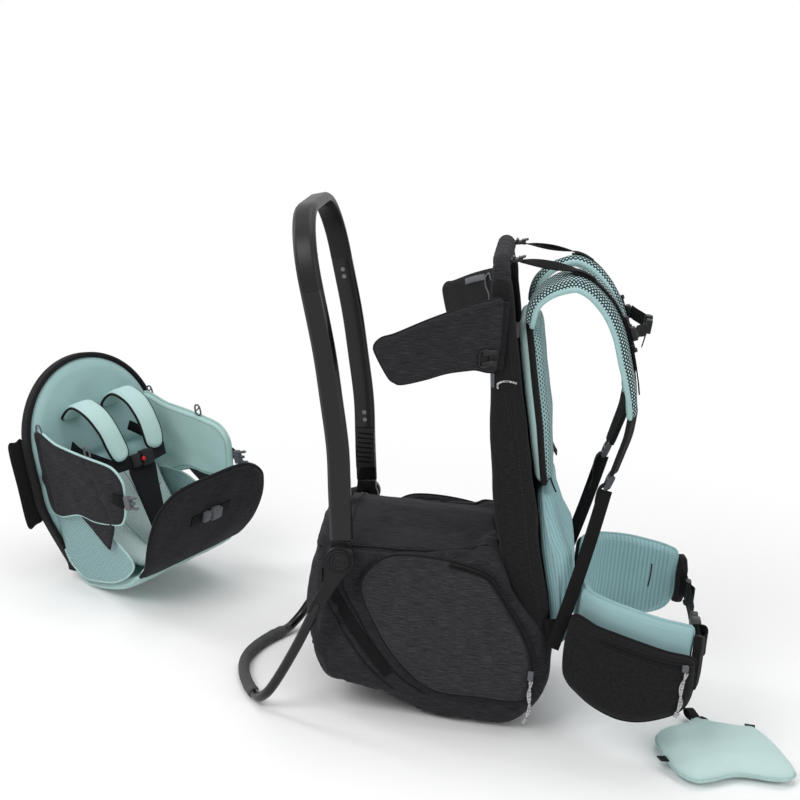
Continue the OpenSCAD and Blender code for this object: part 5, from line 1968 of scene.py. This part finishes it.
def make_seat_bottom():
    place, long = seat_lying([(-79, 66), (-73, 36), (-48, 13), (0, 7), (50, 11), (98, 31)])
    outline = both([(-112, 4), (-114, 40), (-114, long - 30), (-106, long - 4)], (0, long)) + [(0, 0)]
    seams = [[(-112, 52), (0, 56), (112, 52)], [(-104, long - 34), (0, long - 38), (104, long - 34)]]
    q = seat_quilt(
        outline, place, 7, 5.5, step=6, edge=12, seams=seams, dent=4, dent_w=7, wobble=2.0, seed=70
    )
    cushion("seat_base", q, "teal_knit", "seat", ("seat_bottom",))
    piece("seat_base_edge", q.piping(2.2), "pale_thread", "seat")
    place, long = seat_lying([(97.3, 32), (112, 39), (140, 62), (170, 104), (194, 150), (205, 180)])
    half = [(-106, 2), (-122, 40), (-132, 90), (-130, 130), (-118, 160), (-78, long - 4)]
    outline = both(half, (0, long)) + [(0, 0)]
    seams = [[(-112, 34), (0, 40), (112, 34)]]
    q = seat_quilt(
        outline, place, 7.5, 6.5, step=6, edge=12, seams=seams, dent=3, dent_w=6, wobble=2.2, seed=75
    )
    cushion("seat_front_flap", q, "teal_knit", "seat", ("seat_front",), back="heather_up")
    piece("seat_front_edge", q.piping(2.8, -1), "binding", "seat")
    piece("seat_front_stitch", q.hems(7, 8), "thread", "seat")
    at = q.on([(0, 118)], 4.5, -1)[0]
    x = unit(q.on([(10, 118)], 4.5, -1)[0] - at)
    y = unit(q.on([(0, 128)], 4.5, -1)[0] - at)
    web = q.band(curve([(-46, 118), (0, 118), (46, 118)], 4), 1.0, rounded(20, 1.8, 0.8, 2), -1)
    piece("seat_front_web", web, "webbing", "seat")
    piece("seat_front_buckle", side_release(at, x, y, 40, 24, 8.5), "grey_plastic", "seat")


CHEST_Z = 208
SEAT_STRAP = [
    (
        -82.6, 45, 298
    ), (-62, 45, 314), (-38, 46, 319), (-8, 46, 303), (12, 44, 275), (22, 42, 245), (26, 38, 222),
]


def make_seat_harness():
    for side, s in SIDES.items():
        place, long = lying(curve([(x, s * y, z) for x, y, z in SEAT_STRAP], 3), (0, 1, 0))
        outline = both([(-17, 0), (-21, 24), (-21.5, 70), (-20, 120), (-16, long)])
        q = seat_quilt(outline, place, 6, 6, step=4.5, edge=8, wobble=1.0, seed=80 + s)
        cushion(f"seat_strap_{side}", q, "teal_knit", "seat", once("seat_harness", s))
        piece(f"seat_strap_edge_{side}", q.piping(2.4), "binding", "seat")
        piece(f"seat_strap_stitch_{side}", q.stitches(q.ring(5)), "pale_thread", "seat")
        under = curve([(-70, s * 66, 250), (-40, s * 70, 236), (-8, s * 62, 222), (14, s * 52, 210)], 3)
        piece(f"seat_strap_web_{side}", seat_made(webbing(under, (0, 0.2, 1), 18, 1.8)), "webbing", "seat")
    half = [(16, -66), (24, -40), (29, -20)]
    chest = [*half, (31, 0), *[(x, -y) for x, y in half[::-1]]]
    chest = curve([(x, y, CHEST_Z) for x, y in chest], 3)
    piece(
        "seat_chest_web", seat_made(sweep(chest, (0, 0, 1), rounded(24, 3.4, 1.5, 3))), "black_cloth",
        "seat", angle=SOFT_ANGLE
    )
    piece(
        "seat_chest_buckle", seat_made(side_release((31, 0, CHEST_Z), (0, 1, 0), (0, 0, 1), 48, 28, 11)),
        "black_plastic", "seat"
    )
    button = lathe(
        [(0.1, 1.6), (3, 1.4), (4, 0.6), (4.2, -0.5), (0.1, -0.5)], (37.2, 0, CHEST_Z), (1, 0, 0), 20
    )
    piece("seat_button", seat_made(button), "red_plastic", "seat")
    place, long = seat_lying([(27, 196), (30, 160), (37, 100), (43, 50), (46, 19)])
    outline = both([(-27, 0), (-24, 40), (-16, 110), (-12, long - 2)]) + [(0, -4)]
    q = seat_quilt(outline, place, 2.6, 2.4, step=4.5, edge=4, wobble=0.8, seed=90)
    cushion("seat_crotch", q, "black_cloth", "seat")
    piece("seat_crotch_edge", q.piping(1.8), "binding", "seat")
    pouch_place, long = seat_lying([(-76, 190), (-60, 160), (-40, 120), (-8, 80), (34, 46), (70, 30)])
    outline = both([(-92, 6), (-98, 60), (-88, 120), (-64, long - 6)], (0, long)) + [(0, 0)]
    hump = lambda p: 3.0 + 9.0 * np.exp(-(((np.abs(p[:, 0]) - 52) / 24) ** 2))
    seams = [[(k * 26, 8), (k * 30, 80), (k * 22, long - 14)] for k in (-1, 1)]
    seams += [[(k * 90, 66), (k * 60, 76), (k * 30, 80)] for k in (-1, 1)]
    q = seat_quilt(
        outline, pouch_place, hump, 2.0, step=6, edge=7, seams=seams, dent=4, dent_w=5, wobble=2.4,
        seed=95
    )
    cushion("seat_pouch", q, "pouch_mesh", "seat")
    seams = [tube(q.on(line, 0.4), 1.2, 6) for line in q.seams]
    piece("seat_pouch_seams", together(q.piping(1.8), *seams), "pouch_edge", "seat")


# Painted shade: the pouch mesh holes are set darker, partly for the shade in the holes.
mesh_look("pouch_mesh", "teal_mesh", (0.64, 0.75, 0.745), (0.38, 0.48, 0.48), 0.0036, 1.0, 0.0005)
plain_look("pouch_edge", "teal_mesh", (0.22, 0.31, 0.32))
hard_look("red_plastic", "black_plastic", (0.45, 0.012, 0.015), 0.4)
make_seat_back()
make_seat_sides()
make_seat_bottom()
make_seat_harness()


# ---------- face pad ----------
PILLOW_AT, PILLOW_TURN = (368, -130), 20
PILLOW = [
    (-93, -40), (-90, 20), (-80, 52), (-60, 68), (-24, 80), (-4, 96), (4, 105), (13, 106), (19, 98), (26, 82),
    (48, 66), (80, 56), (90, 34), (93, 0), (89, -60), (82, -80), (66, -88), (41, -84), (0, -68), (-43, -77),
    (-70, -80), (-86, -66),
]


def make_pillow():
    a = math.radians(PILLOW_TURN)

    def turned(x, y):
        return x * math.cos(a) - y * math.sin(a), x * math.sin(a) + y * math.cos(a)

    def laid(p, z):
        x, y = turned(p[:, 0], p[:, 1])
        return np.stack([PILLOW_AT[0] + x, PILLOW_AT[1] + y, z], 1)

    neck = lambda p: 1 - 0.55 * np.clip((p[:, 1] - 66) / 40, 0, 1)
    place = lambda p, h: laid(arr(p), np.maximum(14 + arr(h), 0.2))
    crown = lambda p: 21 * neck(p) + 2.2 * np.sin(p[:, 0] / 34.0 + 0.6) * np.cos(p[:, 1] / 40.0)
    seams = [[(-84, 60), (-50, 62), (10, 56), (60, 52), (86, 46)]]
    q = Quilt(
        PILLOW, place, crown, 14, step=4.5, edge=36, seams=seams, dent=2.6, dent_w=3.6, wobble=1.6,
        seed=99
    )
    cushion("pillow_soft", q, "pale_knit", "pillow", ("pillow_pad",))
    piece("pillow_seam", q.piping(1.1, 0), "pale_thread", "pillow")
    piece(
        "pillow_stitch", q.stitches([(-80, 56), (-50, 58), (10, 52), (60, 48), (84, 42)]), "pale_thread",
        "pillow"
    )
    loop = curve(
        [
            (9, 100, 12), (8, 112, 10), (8, 124, 9), (8, 132, 12), (8, 133, 17), (8, 126, 21),
            (9, 112, 19), (10, 100, 16)
        ],
        2
    )
    made = webbing(laid(loop[:, :2], loop[:, 2]), (*turned(1, 0), 0), 13)
    tabs = []
    for at, to in (((-91, -16), (-105, -17)), ((80, 60), (86, 74))):
        at, to = arr(at), arr(to)
        line = arr([at + (to - at) * k for k in np.linspace(-0.3, 1, 6)])
        w = unit(arr(((to - at)[1], -(to - at)[0])))
        tabs.append(webbing(laid(line, 15 + 2.0 * np.linspace(0, 1, 6)), (*turned(*w), 0), 16, 1.8))
    piece("pillow_hoop", together(made, *tabs), "webbing", "pillow", ("pillow_loop",))
    top = q.on([(12, 84)], 0.2)[0]
    up = unit(np.cross(q.on([(15, 84)])[0] - top, q.on([(12, 87)])[0] - top))
    button = [
        (0.1, 2.2), (3.6, 2.1), (4.4, 1.5), (5.2, 2.2), (6.2, 1.6), (6.6, 0.4), (6.0, -0.8), (0.1, -0.8)
    ]
    piece("pillow_button", lathe(button, top, up, 28), "black_plastic", "pillow")


knit_look("pale_knit", "teal_fabric", (0.53, 0.70, 0.68), 0.0024, 0.88, 0.0004)
make_pillow()
